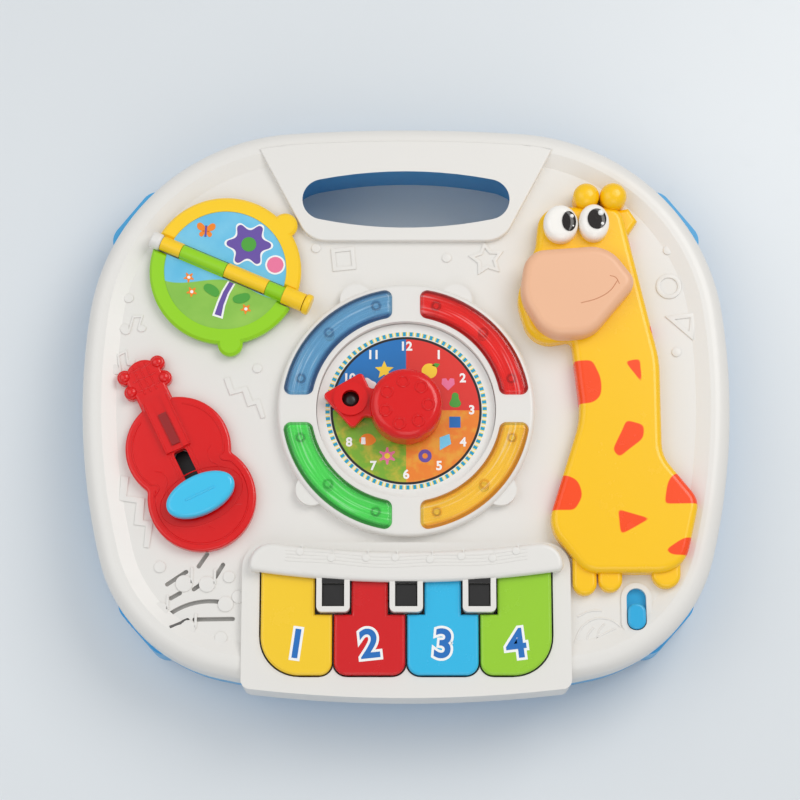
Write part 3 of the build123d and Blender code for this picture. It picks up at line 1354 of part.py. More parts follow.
for name, side, knuckles in (
    ("upper", 1, KNUCKLES_UPPER),
    ("lower", -1, KNUCKLES_LOWER),
):
    with BuildPart() as page:
        with BuildSketch(book_plane(PAGE_Z)):
            add(half_disc(PAGE_RADIUS, True, side))
        extrude(amount=PAGE_SHEET)
        chamfer(page.edges().group_by(Axis.Z)[-1], PAGE_BEVEL)
        if side < 0:
            with BuildSketch(book_plane(PAGE_Z)):
                with Locations(((CAP_NOTCH[0] + CAP_NOTCH[1]) / 2, 0)):
                    Rectangle(CAP_NOTCH[1] - CAP_NOTCH[0], 2 * CAP_CLEAR)
            extrude(amount=PAGE_SHEET, mode=Mode.SUBTRACT)
        with BuildSketch(book_plane(PAGE_Z + PAGE_SHEET - PICTURE_SINK)):
            add(half_disc(PAGE_PICTURE, False, side))
        extrude(amount=PICTURE_SINK, mode=Mode.SUBTRACT)
        # knuckles on the pin, each with its web to the page
        for start, end in knuckles:
            with BuildSketch(across_book(start)):
                Circle(TUBE_RADIUS)
                with Locations((side * PAGE_EDGE / 2, -GAP - PAGE_SHEET / 2)):
                    Rectangle(PAGE_EDGE, PAGE_SHEET)
            extrude(amount=end - start)
        if side > 0:
            with BuildSketch(across_book(CAP_SPAN[0])):
                Circle(CAP_RADIUS)
            extrude(amount=CAP_SPAN[1] - CAP_SPAN[0])
            with BuildSketch(across_book(CAP_SPAN[0])):
                with Locations((PAGE_EDGE / 2, -GAP - PAGE_SHEET / 2)):
                    Rectangle(PAGE_EDGE, PAGE_SHEET)
            extrude(amount=CAP_WEB_END - CAP_SPAN[0])
        with BuildSketch(across_book(-PAGE_RADIUS)):
            Circle(BOOK_PIN + RUNNING)
        extrude(amount=2 * PAGE_RADIUS + CAP_SPAN[1], mode=Mode.SUBTRACT)
    page.part.label = "page_" + name
    export_step(page.part, "parts/page_" + name + ".step")

    with BuildPart() as picture:
        with BuildSketch(book_plane(PAGE_Z + PAGE_SHEET - PICTURE_SINK)):
            add(half_disc(PAGE_PICTURE - RUNNING, False, side))
        extrude(amount=PICTURE_SHEET)
    picture.part.label = "page_picture_" + name
    export_step(picture.part, "parts/page_picture_" + name + ".step")

with BuildPart() as book_base:
    with BuildSketch(book_plane(DECK_Z)):
        Circle(BASE_RADIUS)
    extrude(amount=BASE_SHEET)
book_base.part.label = "book_base"
export_step(book_base.part, "parts/book_base.step")

with BuildPart() as book_pin:
    with BuildSketch(across_book(LUG_LEFT[0])):
        Circle(BOOK_PIN)
    extrude(amount=LUG_RIGHT[1] - LUG_LEFT[0])
book_pin.part.label = "book_pin"
export_step(book_pin.part, "parts/book_pin.step")

# ---- Violin --------------------------------------------------------------------------------
CHANNEL_WIDTH = 6.0
CHANNEL_DEPTH = 1.0
CARRIAGE_Z = ROOF_Z - GAP - CARRIAGE_SHEET
SLIDER_REST = SLOT_LOW + (SLOT_LENGTH - SLIDER_TRAVEL) / 2
bouts = bouts_outline()
bouts_inside = bouts_outline(-VIOLIN_SHEET)
with BuildPart() as violin_body:
    with BuildSketch(violin_plane(DECK_Z)):
        add(bouts)
        with Locations((0, (UPPER_BOUT_AT + NECK_END) / 2)):
            Rectangle(2 * NECK_HALF, NECK_END - UPPER_BOUT_AT)
        with Locations((0, SCROLL_AT)):
            Circle(SCROLL_RADIUS)
        with Locations([(side * PEG_HALF, y) for y in PEG_AT for side in (-1, 1)]):
            Circle(PEG_RADIUS)
    extrude(amount=VIOLIN_RISE)
    fillet(violin_body.edges().group_by(Axis.Z)[-1], VIOLIN_ROUND)
    with BuildSketch(violin_plane(VIOLIN_Z)):
        with Locations((0, (FINGERBOARD_FOOT + UPPER_BOUT_AT * 2) / 2)):
            Rectangle(2 * FINGERBOARD_HALF, UPPER_BOUT_AT * 2 - FINGERBOARD_FOOT)
    extrude(amount=FINGERBOARD_RISE)
    with BuildSketch(violin_plane(FINGER_Z - CHANNEL_DEPTH)):
        with Locations((0, (FINGERBOARD_FOOT + UPPER_BOUT_AT * 2) / 2)):
            Rectangle(CHANNEL_WIDTH, UPPER_BOUT_AT * 2 - FINGERBOARD_FOOT)
    extrude(amount=CHANNEL_DEPTH, mode=Mode.SUBTRACT)
    with BuildSketch(violin_plane(DECK_Z)):
        with Locations((0, SLOT_MIDDLE)):
            RectangleRounded(SLOT_WIDTH, SLOT_LENGTH, SLOT_WIDTH / 4)
    extrude(amount=VIOLIN_RISE, mode=Mode.SUBTRACT)
    # hollow underside round the slot, with bosses for the screws
    with BuildSketch(violin_plane(DECK_Z)):
        add(bouts_inside)
        with Locations((0, (UPPER_BOUT_AT + NECK_END) / 2)):
            Rectangle(2 * (NECK_HALF - VIOLIN_SHEET), NECK_END - UPPER_BOUT_AT)
        with Locations((0, SLOT_MIDDLE)):
            Rectangle(
                SLOT_WIDTH + 2 * VIOLIN_SHEET, SLOT_LENGTH + 2 * VIOLIN_SHEET, mode=Mode.SUBTRACT
            )
        with Locations(VIOLIN_SCREWS):
            Circle(FIGURE_BOSS, mode=Mode.SUBTRACT)
    extrude(amount=VIOLIN_RISE - VIOLIN_SHEET, mode=Mode.SUBTRACT)
    with BuildSketch(violin_plane(DECK_Z)):
        with Locations(VIOLIN_SCREWS):
            Circle(SCREW_SHANK)
    extrude(amount=VIOLIN_BITE, mode=Mode.SUBTRACT)
violin_body.part.label = "violin_body"
export_step(violin_body.part, "parts/violin_body.step")

with BuildPart() as violin_slider:
    with BuildSketch(violin_plane(SLIDER_Z)):
        with Locations((0, SLIDER_REST)):
            Ellipse(SLIDER_LENGTH / 2, SLIDER_WIDTH / 2)
    extrude(amount=SLIDER_HEIGHT)
    fillet(violin_slider.edges().group_by(Axis.Z)[-1], SLIDER_ROUND)
    with BuildSketch(violin_plane(ROOF_Z - GAP)):
        with Locations((0, SLIDER_REST)):
            Rectangle(STEM_WIDTH, STEM_LENGTH)
    extrude(amount=SLIDER_Z - ROOF_Z + GAP)
violin_slider.part.label = "violin_slider"
export_step(violin_slider.part, "parts/violin_slider.step")

with BuildPart() as slider_carriage:
    with BuildSketch(violin_plane(CARRIAGE_Z)):
        with Locations((0, SLIDER_REST)):
            Rectangle(CARRIAGE_WIDTH, CARRIAGE_LENGTH)
    extrude(amount=CARRIAGE_SHEET)
slider_carriage.part.label = "slider_carriage"
export_step(slider_carriage.part, "parts/slider_carriage.step")

with BuildPart() as slider_board:
    with BuildSketch(violin_plane(SLIDER_BOARD_Z - BOARD)):
        with Locations((0, SLOT_MIDDLE)):
            Rectangle(*SLIDER_BOARD)
    extrude(amount=BOARD)
slider_board.part.label = "slider_board"
export_step(slider_board.part, "parts/slider_board.step")

# ---- Giraffe -------------------------------------------------------------------------------
with BuildPart() as giraffe_body:
    with BuildSketch(level(DECK_Z)):
        for x, y, radius in LEGS:
            with Locations((x, y + radius)):
                Circle(radius)
            with Locations((x, (y + radius + LEG_TOP_Y) / 2)):
                Rectangle(2 * radius, LEG_TOP_Y - y - radius)
        with BuildLine():
            Polyline(*EAR_POINTS, close=True)
        make_face()
    extrude(amount=LEG_RISE)
    fillet(giraffe_body.edges().group_by(Axis.Z)[-1], EAR_ROUND)
    with BuildSketch(level(DECK_Z)):
        add(giraffe_outline())
    extrude(amount=GIRAFFE_RISE)
    fillet(giraffe_body.edges().group_by(Axis.Z)[-1], GIRAFFE_ROUND)
    with BuildSketch(level(DECK_Z)):
        for x, y, radius in HORNS:
            with Locations((x, y)):
                Circle(radius)
    extrude(amount=HORN_RISE)
    fillet(giraffe_body.edges().group_by(Axis.Z)[-1], HORN_ROUND)
    with BuildSketch(level(GIRAFFE_Z)):
        for x, y, half_width, half_height in EYES:
            with Locations((x, y)):
                Ellipse(half_width, half_height)
    extrude(amount=EYE_HEIGHT, mode=Mode.SUBTRACT)
    add(over_deck, mode=Mode.INTERSECT)
    # hollow underside with bosses for the screws, and the seat of the muzzle
    with BuildSketch(level(DECK_Z)):
        add(giraffe_outline(-GIRAFFE_SHEET))
        with Locations(GIRAFFE_SCREWS):
            Circle(FIGURE_BOSS, mode=Mode.SUBTRACT)
    extrude(amount=GIRAFFE_RISE - GIRAFFE_SHEET - MUZZLE_SINK, mode=Mode.SUBTRACT)
    with BuildSketch(level(DECK_Z)):
        with Locations(GIRAFFE_SCREWS):
            Circle(SCREW_SHANK)
    extrude(amount=GIRAFFE_BITE, mode=Mode.SUBTRACT)
    with BuildSketch(level(GIRAFFE_Z - MUZZLE_SINK)):
        add(muzzle_outline())
    extrude(amount=MUZZLE_SINK, mode=Mode.SUBTRACT)
giraffe_body.part.label = "giraffe_body"
export_step(giraffe_body.part, "parts/giraffe_body.step")

with BuildPart() as figure_screws:
    for plane, places, bite in (
        (level(0), GIRAFFE_SCREWS, GIRAFFE_BITE),
        (violin_plane(0), VIOLIN_SCREWS, VIOLIN_BITE),
    ):
        with BuildSketch(plane.offset(ROOF_Z - SCREW_HEAD_HEIGHT)):
            with Locations(places):
                Circle(SCREW_HEAD)
        extrude(amount=SCREW_HEAD_HEIGHT)
        with BuildSketch(plane.offset(ROOF_Z)):
            with Locations(places):
                Circle(SCREW_SHANK)
        extrude(amount=WALL + bite)
figure_screws.part.label = "figure_screws"
export_step(figure_screws.part, "parts/figure_screws.step")

with BuildPart() as giraffe_muzzle:
    with BuildSketch(level(GIRAFFE_Z - MUZZLE_SINK)):
        add(muzzle_outline())
    extrude(amount=MUZZLE_SINK + MUZZLE_HEIGHT)
    fillet(giraffe_muzzle.edges().group_by(Axis.Z)[-1], MUZZLE_ROUND)
giraffe_muzzle.part.label = "giraffe_muzzle"
export_step(giraffe_muzzle.part, "parts/giraffe_muzzle.step")


def eyes(lift):
    """The two domed eyes, lifted over their seat."""
    with BuildPart() as domes:
        with BuildSketch(level(GIRAFFE_Z)):
            for x, y, half_width, half_height in EYES:
                with Locations((x, y)):
                    Ellipse(half_width, half_height)
        extrude(amount=EYE_HEIGHT + lift)
        fillet(domes.edges().group_by(Axis.Z)[-1], EYE_ROUND)
    return domes.part


eye_domes = eyes(0)
pupil_domes = eyes(PUPIL_PROUD)
with BuildPart() as giraffe_eyes:
    add(eye_domes)
giraffe_eyes.part.label = "giraffe_eyes"
export_step(giraffe_eyes.part, "parts/giraffe_eyes.step")

with BuildPart() as giraffe_pupils:
    with BuildSketch(level(GIRAFFE_Z)):
        for x, y, half_width, half_height in PUPILS:
            with Locations((x, y)):
                Ellipse(half_width, half_height)
    extrude(amount=2 * EYE_HEIGHT)
    add(pupil_domes, mode=Mode.INTERSECT)
    add(eye_domes, mode=Mode.SUBTRACT)
giraffe_pupils.part.label = "giraffe_pupils"
export_step(giraffe_pupils.part, "parts/giraffe_pupils.step")

# ---- Power switch --------------------------------------------------------------------------
SWITCH_END_GAP = 0.5
SWITCH_REST_Y = SWITCH_Y - (SWITCH_SPAN - SWITCH_KNOB_LENGTH) / 2 + SWITCH_END_GAP
SWITCH_PLATE_Z = ROOF_Z - GAP - SWITCH_PLATE
SWITCH_PEG = 3.0
SWITCH_PEG_REACH = 1.5
SWITCH_PEG_Z = SWITCH_EAR_Z - SWITCH_PEG_REACH
SWITCH_EAR_SHEET = 2.0
SWITCH_ROUND = 1.5
with BuildPart() as power_switch_knob:
    with BuildSketch(level(SWITCH_PLATE_Z)):
        with Locations((SWITCH_X, SWITCH_REST_Y)):
            SlotOverall(SWITCH_KNOB_LENGTH, SWITCH_KNOB, rotation=90)
    extrude(amount=DECK_Z + SWITCH_KNOB_RISE - SWITCH_PLATE_Z)
    fillet(power_switch_knob.edges().group_by(Axis.Z)[-1], SWITCH_ROUND)
    with BuildSketch(level(SWITCH_PLATE_Z)):
        with Locations((SWITCH_X, SWITCH_REST_Y)):
            SlotOverall(SWITCH_PLATE_LENGTH, SWITCH_PLATE_WIDTH, rotation=90)
    extrude(amount=SWITCH_PLATE)
    with BuildSketch(level(SWITCH_PEG_Z)):
        with Locations((SWITCH_X, SWITCH_REST_Y)):
            Rectangle(SWITCH_PEG, SWITCH_PEG)
    extrude(amount=SWITCH_PLATE_Z - SWITCH_PEG_Z)
power_switch_knob.part.label = "power_switch_knob"
export_step(power_switch_knob.part, "parts/power_switch_knob.step")

with BuildPart() as switch_body:
    with BuildSketch(level(SWITCH_EAR_Z - SWITCH_BOX[2])):
        with Locations((SWITCH_X, SWITCH_Y)):
            Rectangle(SWITCH_BOX[0], SWITCH_BOX[1])
    extrude(amount=SWITCH_BOX[2])
    with BuildSketch(level(SWITCH_EAR_Z - SWITCH_EAR_SHEET)):
        with Locations((SWITCH_X, SWITCH_Y)):
            SlotCenterToCenter(2 * SWITCH_POST_X, SWITCH_KNOB)
    extrude(amount=SWITCH_EAR_SHEET)
    with BuildSketch(level(SWITCH_PEG_Z - GAP)):
        with Locations((SWITCH_X, SWITCH_REST_Y + SWITCH_TRAVEL / 2)):
            Rectangle(SWITCH_PEG + 2 * GAP, SWITCH_PEG + SWITCH_TRAVEL + 2 * GAP)
    extrude(amount=SWITCH_EAR_Z - SWITCH_PEG_Z + GAP, mode=Mode.SUBTRACT)
switch_body.part.label = "switch_body"
export_step(switch_body.part, "parts/switch_body.step")

# ---- Loudspeaker ---------------------------------------------------------------------------
MAGNET_HEIGHT = 7.0
SPEAKER_LIP = 4.0
CONE_MOUTH = SPEAKER_RADIUS - SPEAKER_LIP
CONE_THROAT = 6.0
BASKET_SHEET = 1.0
with BuildPart() as speaker_frame:
    with BuildSketch(Plane.XZ.offset(-SPEAKER_Y)):
        with BuildLine():
            Polyline(
                (SPEAKER_X, ROOF_Z - SPEAKER_DEPTH),
                (SPEAKER_X + MAGNET_RADIUS, ROOF_Z - SPEAKER_DEPTH),
                (SPEAKER_X + MAGNET_RADIUS, ROOF_Z - SPEAKER_DEPTH + MAGNET_HEIGHT),
                (SPEAKER_X + CONE_MOUTH, ROOF_Z - SPEAKER_FLANGE),
                (SPEAKER_X + SPEAKER_RADIUS, ROOF_Z - SPEAKER_FLANGE),
                (SPEAKER_X + SPEAKER_RADIUS, ROOF_Z),
                (SPEAKER_X + CONE_MOUTH, ROOF_Z),
                (SPEAKER_X + CONE_MOUTH, ROOF_Z - SPEAKER_FLANGE + BASKET_SHEET),
                (SPEAKER_X + CONE_THROAT, ROOF_Z - SPEAKER_DEPTH + MAGNET_HEIGHT + BASKET_SHEET),
                (SPEAKER_X, ROOF_Z - SPEAKER_DEPTH + MAGNET_HEIGHT + BASKET_SHEET),
                close=True,
            )
        make_face()
    revolve(axis=Axis((SPEAKER_X, SPEAKER_Y, 0), (0, 0, 1)))
speaker_frame.part.label = "speaker_frame"
export_step(speaker_frame.part, "parts/speaker_frame.step")

with BuildPart() as speaker_cone:
    with BuildSketch(Plane.XZ.offset(-SPEAKER_Y)):
        with BuildLine():
            cone_floor = ROOF_Z - SPEAKER_DEPTH + MAGNET_HEIGHT + BASKET_SHEET
            Polyline(
                (SPEAKER_X, cone_floor + GAP),
                (SPEAKER_X + CONE_THROAT - GAP, cone_floor + GAP),
                (SPEAKER_X + CONE_MOUTH - GAP, ROOF_Z - CONE_SHEET),
                (SPEAKER_X + CONE_MOUTH - GAP, ROOF_Z),
                (SPEAKER_X + CONE_THROAT - GAP, cone_floor + GAP + CONE_SHEET),
                (SPEAKER_X, cone_floor + GAP + CONE_SHEET),
                close=True,
            )
        make_face()
    revolve(axis=Axis((SPEAKER_X, SPEAKER_Y, 0), (0, 0, 1)))
speaker_cone.part.label = "speaker_cone"
export_step(speaker_cone.part, "parts/speaker_cone.step")
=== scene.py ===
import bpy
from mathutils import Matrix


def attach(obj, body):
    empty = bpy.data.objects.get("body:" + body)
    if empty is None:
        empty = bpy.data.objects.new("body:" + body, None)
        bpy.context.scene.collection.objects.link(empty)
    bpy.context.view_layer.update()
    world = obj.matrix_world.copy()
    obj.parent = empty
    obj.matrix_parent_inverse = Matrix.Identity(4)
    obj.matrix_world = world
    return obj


bl_info = {
    "name": "Musical activity table",
    "version": (1, 0, 0),
    "blender": (4, 5, 0),
    "location": "View3D > Sidebar > Activity table",
    "description": "Dresses the packed activity table in its plastics, prints and raised trim",
    "category": "Object",
}

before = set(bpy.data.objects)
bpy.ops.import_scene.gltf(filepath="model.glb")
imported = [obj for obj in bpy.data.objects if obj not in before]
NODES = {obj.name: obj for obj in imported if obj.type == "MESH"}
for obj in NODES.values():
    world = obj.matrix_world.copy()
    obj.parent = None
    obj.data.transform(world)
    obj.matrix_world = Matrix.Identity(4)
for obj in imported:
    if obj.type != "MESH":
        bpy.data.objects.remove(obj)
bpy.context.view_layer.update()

from math import atan2, cos, degrees, hypot, pi, radians, sin

import bpy
from bpy.props import FloatProperty, FloatVectorProperty, PointerProperty
from mathutils import Vector

MM = 0.001

# ---- Heights of the surfaces that carry trim, in millimetres ---------------------------------
DECK = 55.0
ROOF = 52.5
DIAL = 57.0
KEY_TOP = 62.0
BLOCK_TOP = 59.5
SHARP_TOP = 65.5
HOOD_TOP = 67.0
VIOLIN_TOP = 61.0
FINGERBOARD_TOP = 63.5
SLIDER_BOARD_TOP = 48.2
SLIDER_TOP = 71.0
MUZZLE_TOP = 77.0
KNOB_TOP = 77.0
POINTER_WELL = 59.2
PICTURE_TOP = 61.1
PAGE_PIN = 61.8

# ---- Places of the play pieces, in millimetres and degrees -----------------------------------
CLOCK = (0.0, -3.0)
LENS_INNER = 53.0
LENS_OUTER = 68.9
LENS_SCREW_TURN = 29.0
POINTER_TURN = 171.0
BOOK = (-101.8, 77.0)
BOOK_TURN = -23.5
VIOLIN = (-112.8, -53.0)
VIOLIN_TURN = 26.0
SLIDER_REST = 0.25
KEYS_X = (-59.85, -19.95, 19.95, 59.85)
KEY_HALF = 19.45
KEY_FRONT = -151.2
HOOD_HALF = 86.0
SPEAKER = (-112.0, -105.0)

# ---- How raised trim meets its surface, in millimetres ---------------------------------------
RELIEF_SINK = 0.5
RELIEF_EDGE = 0.3


def srgb(red, green, blue):
    """Linear colour from the 0 to 255 values of a colour chart."""
    parts = []
    for value in (red, green, blue):
        value = value / 255
        parts.append(value / 12.92 if value <= 0.04045 else ((value + 0.055) / 1.055) ** 2.4)
    return tuple(parts)


# ---- Settings that a user would change -------------------------------------------------------
def colour_setting(name, description, value):
    return FloatVectorProperty(
        name=name, description=description, default=value, subtype="COLOR", size=3, min=0, max=1
    )


def length_setting(name, description, value, least, most):
    """A length given here in millimetres and held in metres."""
    return FloatProperty(
        name=name, description=description, default=value * MM, min=least * MM, max=most * MM,
        precision=5, subtype="DISTANCE", unit="LENGTH",
    )


class TableColours(bpy.types.PropertyGroup):
    """Colours of the moulded plastics"""

    shell: colour_setting("Shell", "Warm white of the top shell", srgb(232, 229, 224))
    tub: colour_setting("Tub", "Blue of the tub and leg sockets", srgb(70, 170, 226))
    yellow: colour_setting("Yellow", "Yellow of the giraffe", srgb(255, 200, 4))
    red: colour_setting("Red", "Red of the violin and clock hand", srgb(224, 4, 6))
    cyan: colour_setting("Cyan", "Cyan of the power switch", srgb(42, 172, 224))
    green: colour_setting("Green", "Lime green of the lower page", srgb(150, 214, 14))
    peach: colour_setting("Muzzle", "Peach of the giraffe's muzzle", srgb(241, 186, 148))
    spots: colour_setting("Spots", "Orange red of the giraffe's spots", srgb(255, 74, 0))
    floor: colour_setting("Floor", "Pale grey blue of the floor", srgb(224, 228, 231))


class TableSizes(bpy.types.PropertyGroup):
    """Sizes of the raised trim and the prints"""

    emboss: length_setting("Emboss", "Height of the raised shapes on the deck", 0.9, 0.2, 2.0)
    print_sheet: length_setting("Print", "Thickness of a printed layer", 0.12, 0.05, 0.5)
    bead: length_setting("Bead", "Radius of the raised lines on the violin", 0.7, 0.2, 1.5)


def colour_of(name):
    """A plastic's colour as the panel has it."""
    return tuple(getattr(bpy.context.scene.table_colours, name))


def size_of(name):
    """A size as the panel has it, in millimetres."""
    return getattr(bpy.context.scene.table_sizes, name) / MM


# ---- Materials -------------------------------------------------------------------------------
# Grains of noise in a metre of plastic
TONE_GRAIN = 11.0
RUB_GRAIN = 46.0
GLOSS_GRAIN = 240.0
PEEL_GRAIN = 900.0

# Sockets of a Mix node that mixes colours; other sockets have the same names
MIX_FACTOR, MIX_UNDER, MIX_OVER, MIX_COLOUR = 0, 6, 7, 2


class Wire:
    """A number or colour on its way through a material's nodes."""

    def __init__(self, finish, socket):
        self.finish = finish
        self.socket = socket

    def __add__(self, other):
        return self.finish.maths("ADD", self, other)

    def __radd__(self, other):
        return self.finish.maths("ADD", other, self)

    def __sub__(self, other):
        return self.finish.maths("SUBTRACT", self, other)

    def __rsub__(self, other):
        return self.finish.maths("SUBTRACT", other, self)

    def __mul__(self, other):
        return self.finish.maths("MULTIPLY", self, other)

    def __rmul__(self, other):
        return self.finish.maths("MULTIPLY", other, self)


class Finish:
    """A material whose nodes are written as sums."""

    def __init__(self, name, roughness, **settings):
        self.material = bpy.data.materials.new(name)
        self.material.use_nodes = True
        self.nodes = self.material.node_tree.nodes
        self.links = self.material.node_tree.links
        self.shader = self.nodes["Principled BSDF"]
        self.shader.inputs["Roughness"].default_value = roughness
        for socket, value in settings.items():
            self.shader.inputs[socket.replace("_", " ")].default_value = value
        self.place = self.node("ShaderNodeTexCoord", {}, {}, output="Object")

    def node(self, kind, settings, sockets, output=0):
        """A node with its settings made first, then the values or links of its sockets."""
        made = self.nodes.new(kind)
        for setting, value in settings.items():
            setattr(made, setting, value)
        for name, value in sockets.items():
            socket = made.inputs[name]
            if isinstance(value, Wire):
                self.links.new(value.socket, socket)
            elif socket.type == "RGBA":
                socket.default_value = (*value, 1)
            else:
                socket.default_value = value
        return Wire(self, made.outputs[output])

    def maths(self, operation, *values):
        """A sum on numbers that change over the surface."""
        return self.node("ShaderNodeMath", {"operation": operation}, dict(enumerate(values)))

    def mix(self, mask, under, over):
        """One colour where the mask is 0 and the other where it is 1."""
        sockets = {MIX_FACTOR: mask, MIX_UNDER: under, MIX_OVER: over}
        return self.node("ShaderNodeMix", {"data_type": "RGBA"}, sockets, output=MIX_COLOUR)

    def split(self, centre=(0.0, 0.0)):
        """The place's X and Y from a centre, in millimetres."""
        apart = self.node("ShaderNodeSeparateXYZ", {}, {"Vector": self.place}).socket.node
        return [Wire(self, apart.outputs[i]) * (1 / MM) - middle for i, middle in enumerate(centre)]

    def far(self, x, y):
        """Distance that two steps at right angles make."""
        return self.maths("SQRT", x * x + y * y)

    def noise(self, grain, detail=2.0, roughness=0.5, over=None):
        """Soft noise with so many grains a metre, or over another set of places."""
        sockets = {
            "Vector": over or self.place, "Scale": grain, "Detail": detail, "Roughness": roughness,
        }
        return self.node("ShaderNodeTexNoise", {}, sockets)

    def step(self, value, edge, soft=0.12):
        """0 under the edge and 1 over it, with a soft width."""
        sockets = {"Value": value, "From Min": edge - soft, "From Max": edge + soft}
        return self.node("ShaderNodeMapRange", {"interpolation_type": "SMOOTHSTEP"}, sockets)

    def below(self, value, edge, soft=0.12):
        """1 under the edge and 0 over it."""
        return 1.0 - self.step(value, edge, soft)

    def set(self, socket, wire):
        """Feeds one of the shader's sockets."""
        self.links.new(wire.socket, self.shader.inputs[socket])

    def bump(self, height, strength, depth=0.2):
        """Feeds the normal from a height, with its depth in millimetres."""
        sockets = {"Strength": strength, "Distance": depth * MM, "Height": height}
        self.set("Normal", self.node("ShaderNodeBump", {}, sockets))

    def surface(self, colour, roughness, tone=0.03, peel=0.05, grain=PEEL_GRAIN):
        """Moulded plastic: slow tone changes, orange peel and light rubs."""
        slow = self.noise(TONE_GRAIN, 3.0, 0.55)
        sockets = {"Value": slow, "To Min": 1.0 - tone, "To Max": 1.0 + tone}
        dark = self.node("ShaderNodeMapRange", {}, sockets)
        shaded = self.node("ShaderNodeVectorMath", {"operation": "SCALE"}, {0: colour, "Scale": dark})
        self.set("Base Color", shaded)
        rubs = self.step(self.noise(RUB_GRAIN, 5.0, 0.7), 0.66, 0.1)
        gloss = (self.noise(GLOSS_GRAIN) - 0.5) * 0.05
        self.set("Roughness", roughness + rubs * 0.12 + gloss)
        self.bump(self.noise(grain, 3.0, 0.6) + rubs * 0.3, peel)
        return self.material


MADE = {}


def plastic(name, colour, roughness=0.28, **settings):
    """A plain moulded plastic, made once."""
    if name not in MADE:
        finish = Finish(name, roughness, Coat_Weight=0.15, Coat_Roughness=0.2)
        MADE[name] = finish.surface(colour, roughness, **settings)
    return MADE[name]


INKS = {
    "white": srgb(248, 248, 246),
    # Black of the painted shade down the violin's slot
    "black": srgb(22, 22, 24),
    "purple": srgb(104, 78, 164),
    "leaf": srgb(76, 164, 56),
    "orange": srgb(246, 136, 30),
    "yellow": srgb(252, 214, 54),
    "blue": srgb(24, 110, 190),
    "pink": srgb(238, 120, 160),
    "sky": srgb(120, 206, 240),
}


def ink(colour):
    """A printed colour, made once."""
    name = "ink_" + colour
    if name not in MADE:
        MADE[name] = Finish(name, 0.35).surface(INKS[colour], 0.35, tone=0.05, peel=0.02)
    return MADE[name]


def dress(material, *nodes):
    """Gives a material to the model's own nodes."""
    for name in nodes:
        for socket in NODES[name].material_slots:
            socket.material = material


# ---- Outlines --------------------------------------------------------------------------------
def spot(points, centre=(0.0, 0.0), turn=0.0, scale=1.0):
    """Points turned about the origin, scaled and moved to a centre."""
    c, s = cos(radians(turn)) * scale, sin(radians(turn)) * scale
    return [(centre[0] + c * x - s * y, centre[1] + s * x + c * y) for x, y in points]


def ring_of(count, radius, start=90.0, inner=None):
    """Points of a regular shape, or of a star where an inner radius is given."""
    steps = count if inner is None else 2 * count
    found = []
    for i in range(steps):
        reach = radius if inner is None or i % 2 == 0 else inner
        angle = radians(start + 360 * i / steps)
        found.append((reach * cos(angle), reach * sin(angle)))
    return found


def round_of(radius, centre=(0.0, 0.0)):
    """Knots of a circle, for a smooth outline."""
    return spot(ring_of(8, radius), centre)


def oblong(left, front, right, back):
    """Corners of a straight four-sided outline."""
    return [(left, front), (right, front), (right, back), (left, back)]


def arc_of(radius, rise, angles):
    """Points of an arc whose centre lies on the Y axis."""
    return [(radius * cos(radians(a)), rise + radius * sin(radians(a))) for a in angles]


def mirrored(points):
    """The same points on the other side of the Y axis."""
    return [(-x, y) for x, y in points]


def clock_place(reach, turn):
    """A place on the clock by its distance from the middle and its angle in degrees."""
    return CLOCK[0] + reach * cos(radians(turn)), CLOCK[1] + reach * sin(radians(turn))


def on_book(points):
    """Points of the book's own plane, in the table's."""
    return spot(points, BOOK, BOOK_TURN)


def on_violin(points):
    """Points of the violin's own plane, in the table's."""
    return spot(points, VIOLIN, VIOLIN_TURN)


# ---- Making pieces ---------------------------------------------------------------------------
def metres(*place):
    """A place given in millimetres, in metres."""
    return [value * MM for value in place]


def object_mode():
    """Nothing selected, and out of edit mode."""
    if bpy.context.object and bpy.context.object.mode != "OBJECT":
        bpy.ops.object.mode_set(mode="OBJECT")
    bpy.ops.object.select_all(action="DESELECT")


def only(piece):
    """One piece selected and active."""
    object_mode()
    piece.select_set(True)
    bpy.context.view_layer.objects.active = piece


def finish_piece(piece, name, body, material):
    """Makes a curve or text a mesh, settles its place and gives it its finish and body."""
    only(piece)
    if piece.type != "MESH":
        bpy.ops.object.convert(target="MESH")
        piece = bpy.context.object
    bpy.ops.object.transform_apply(location=True, rotation=True, scale=True)
    bpy.ops.object.mode_set(mode="EDIT")
    bpy.ops.mesh.select_all(action="SELECT")
    bpy.ops.mesh.remove_doubles(threshold=0.000001)
    bpy.ops.mesh.normals_make_consistent(inside=False)
    bpy.ops.object.mode_set(mode="OBJECT")
    bpy.ops.object.shade_smooth_by_angle(angle=radians(35))
    piece.name = name
    piece.data.name = name
    piece.data.materials.clear()
    piece.data.materials.append(material)
    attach(piece, body)
    object_mode()


def white_piece(piece, name):
    """Trim moulded into the white shell."""
    finish_piece(piece, name, "table", MADE["white_plastic"])


def red_piece(piece, name):
    """Trim moulded into the red violin."""
    finish_piece(piece, name, "table", MADE["red_gloss"])


def new_curve(name, dimensions):
    """An empty curve in the scene."""
    curve = bpy.data.curves.new(name, "CURVE")
    curve.dimensions = dimensions
    curve.resolution_u = 8
    piece = bpy.data.objects.new(name, curve)
    bpy.context.scene.collection.objects.link(piece)
    return piece


def add_line(curve, knots, smooth, closed):
    """A line through knots, bent where it is smooth and straight between them otherwise."""
    line = curve.splines.new("BEZIER" if smooth else "POLY")
    points = line.bezier_points if smooth else line.points
    points.add(len(knots) - 1)
    for point, knot in zip(points, knots):
        if smooth:
            point.co = metres(*knot)
            point.handle_left_type = point.handle_right_type = "AUTO"
        else:
            point.co = (*metres(*knot), 1)
    line.use_cyclic_u = closed


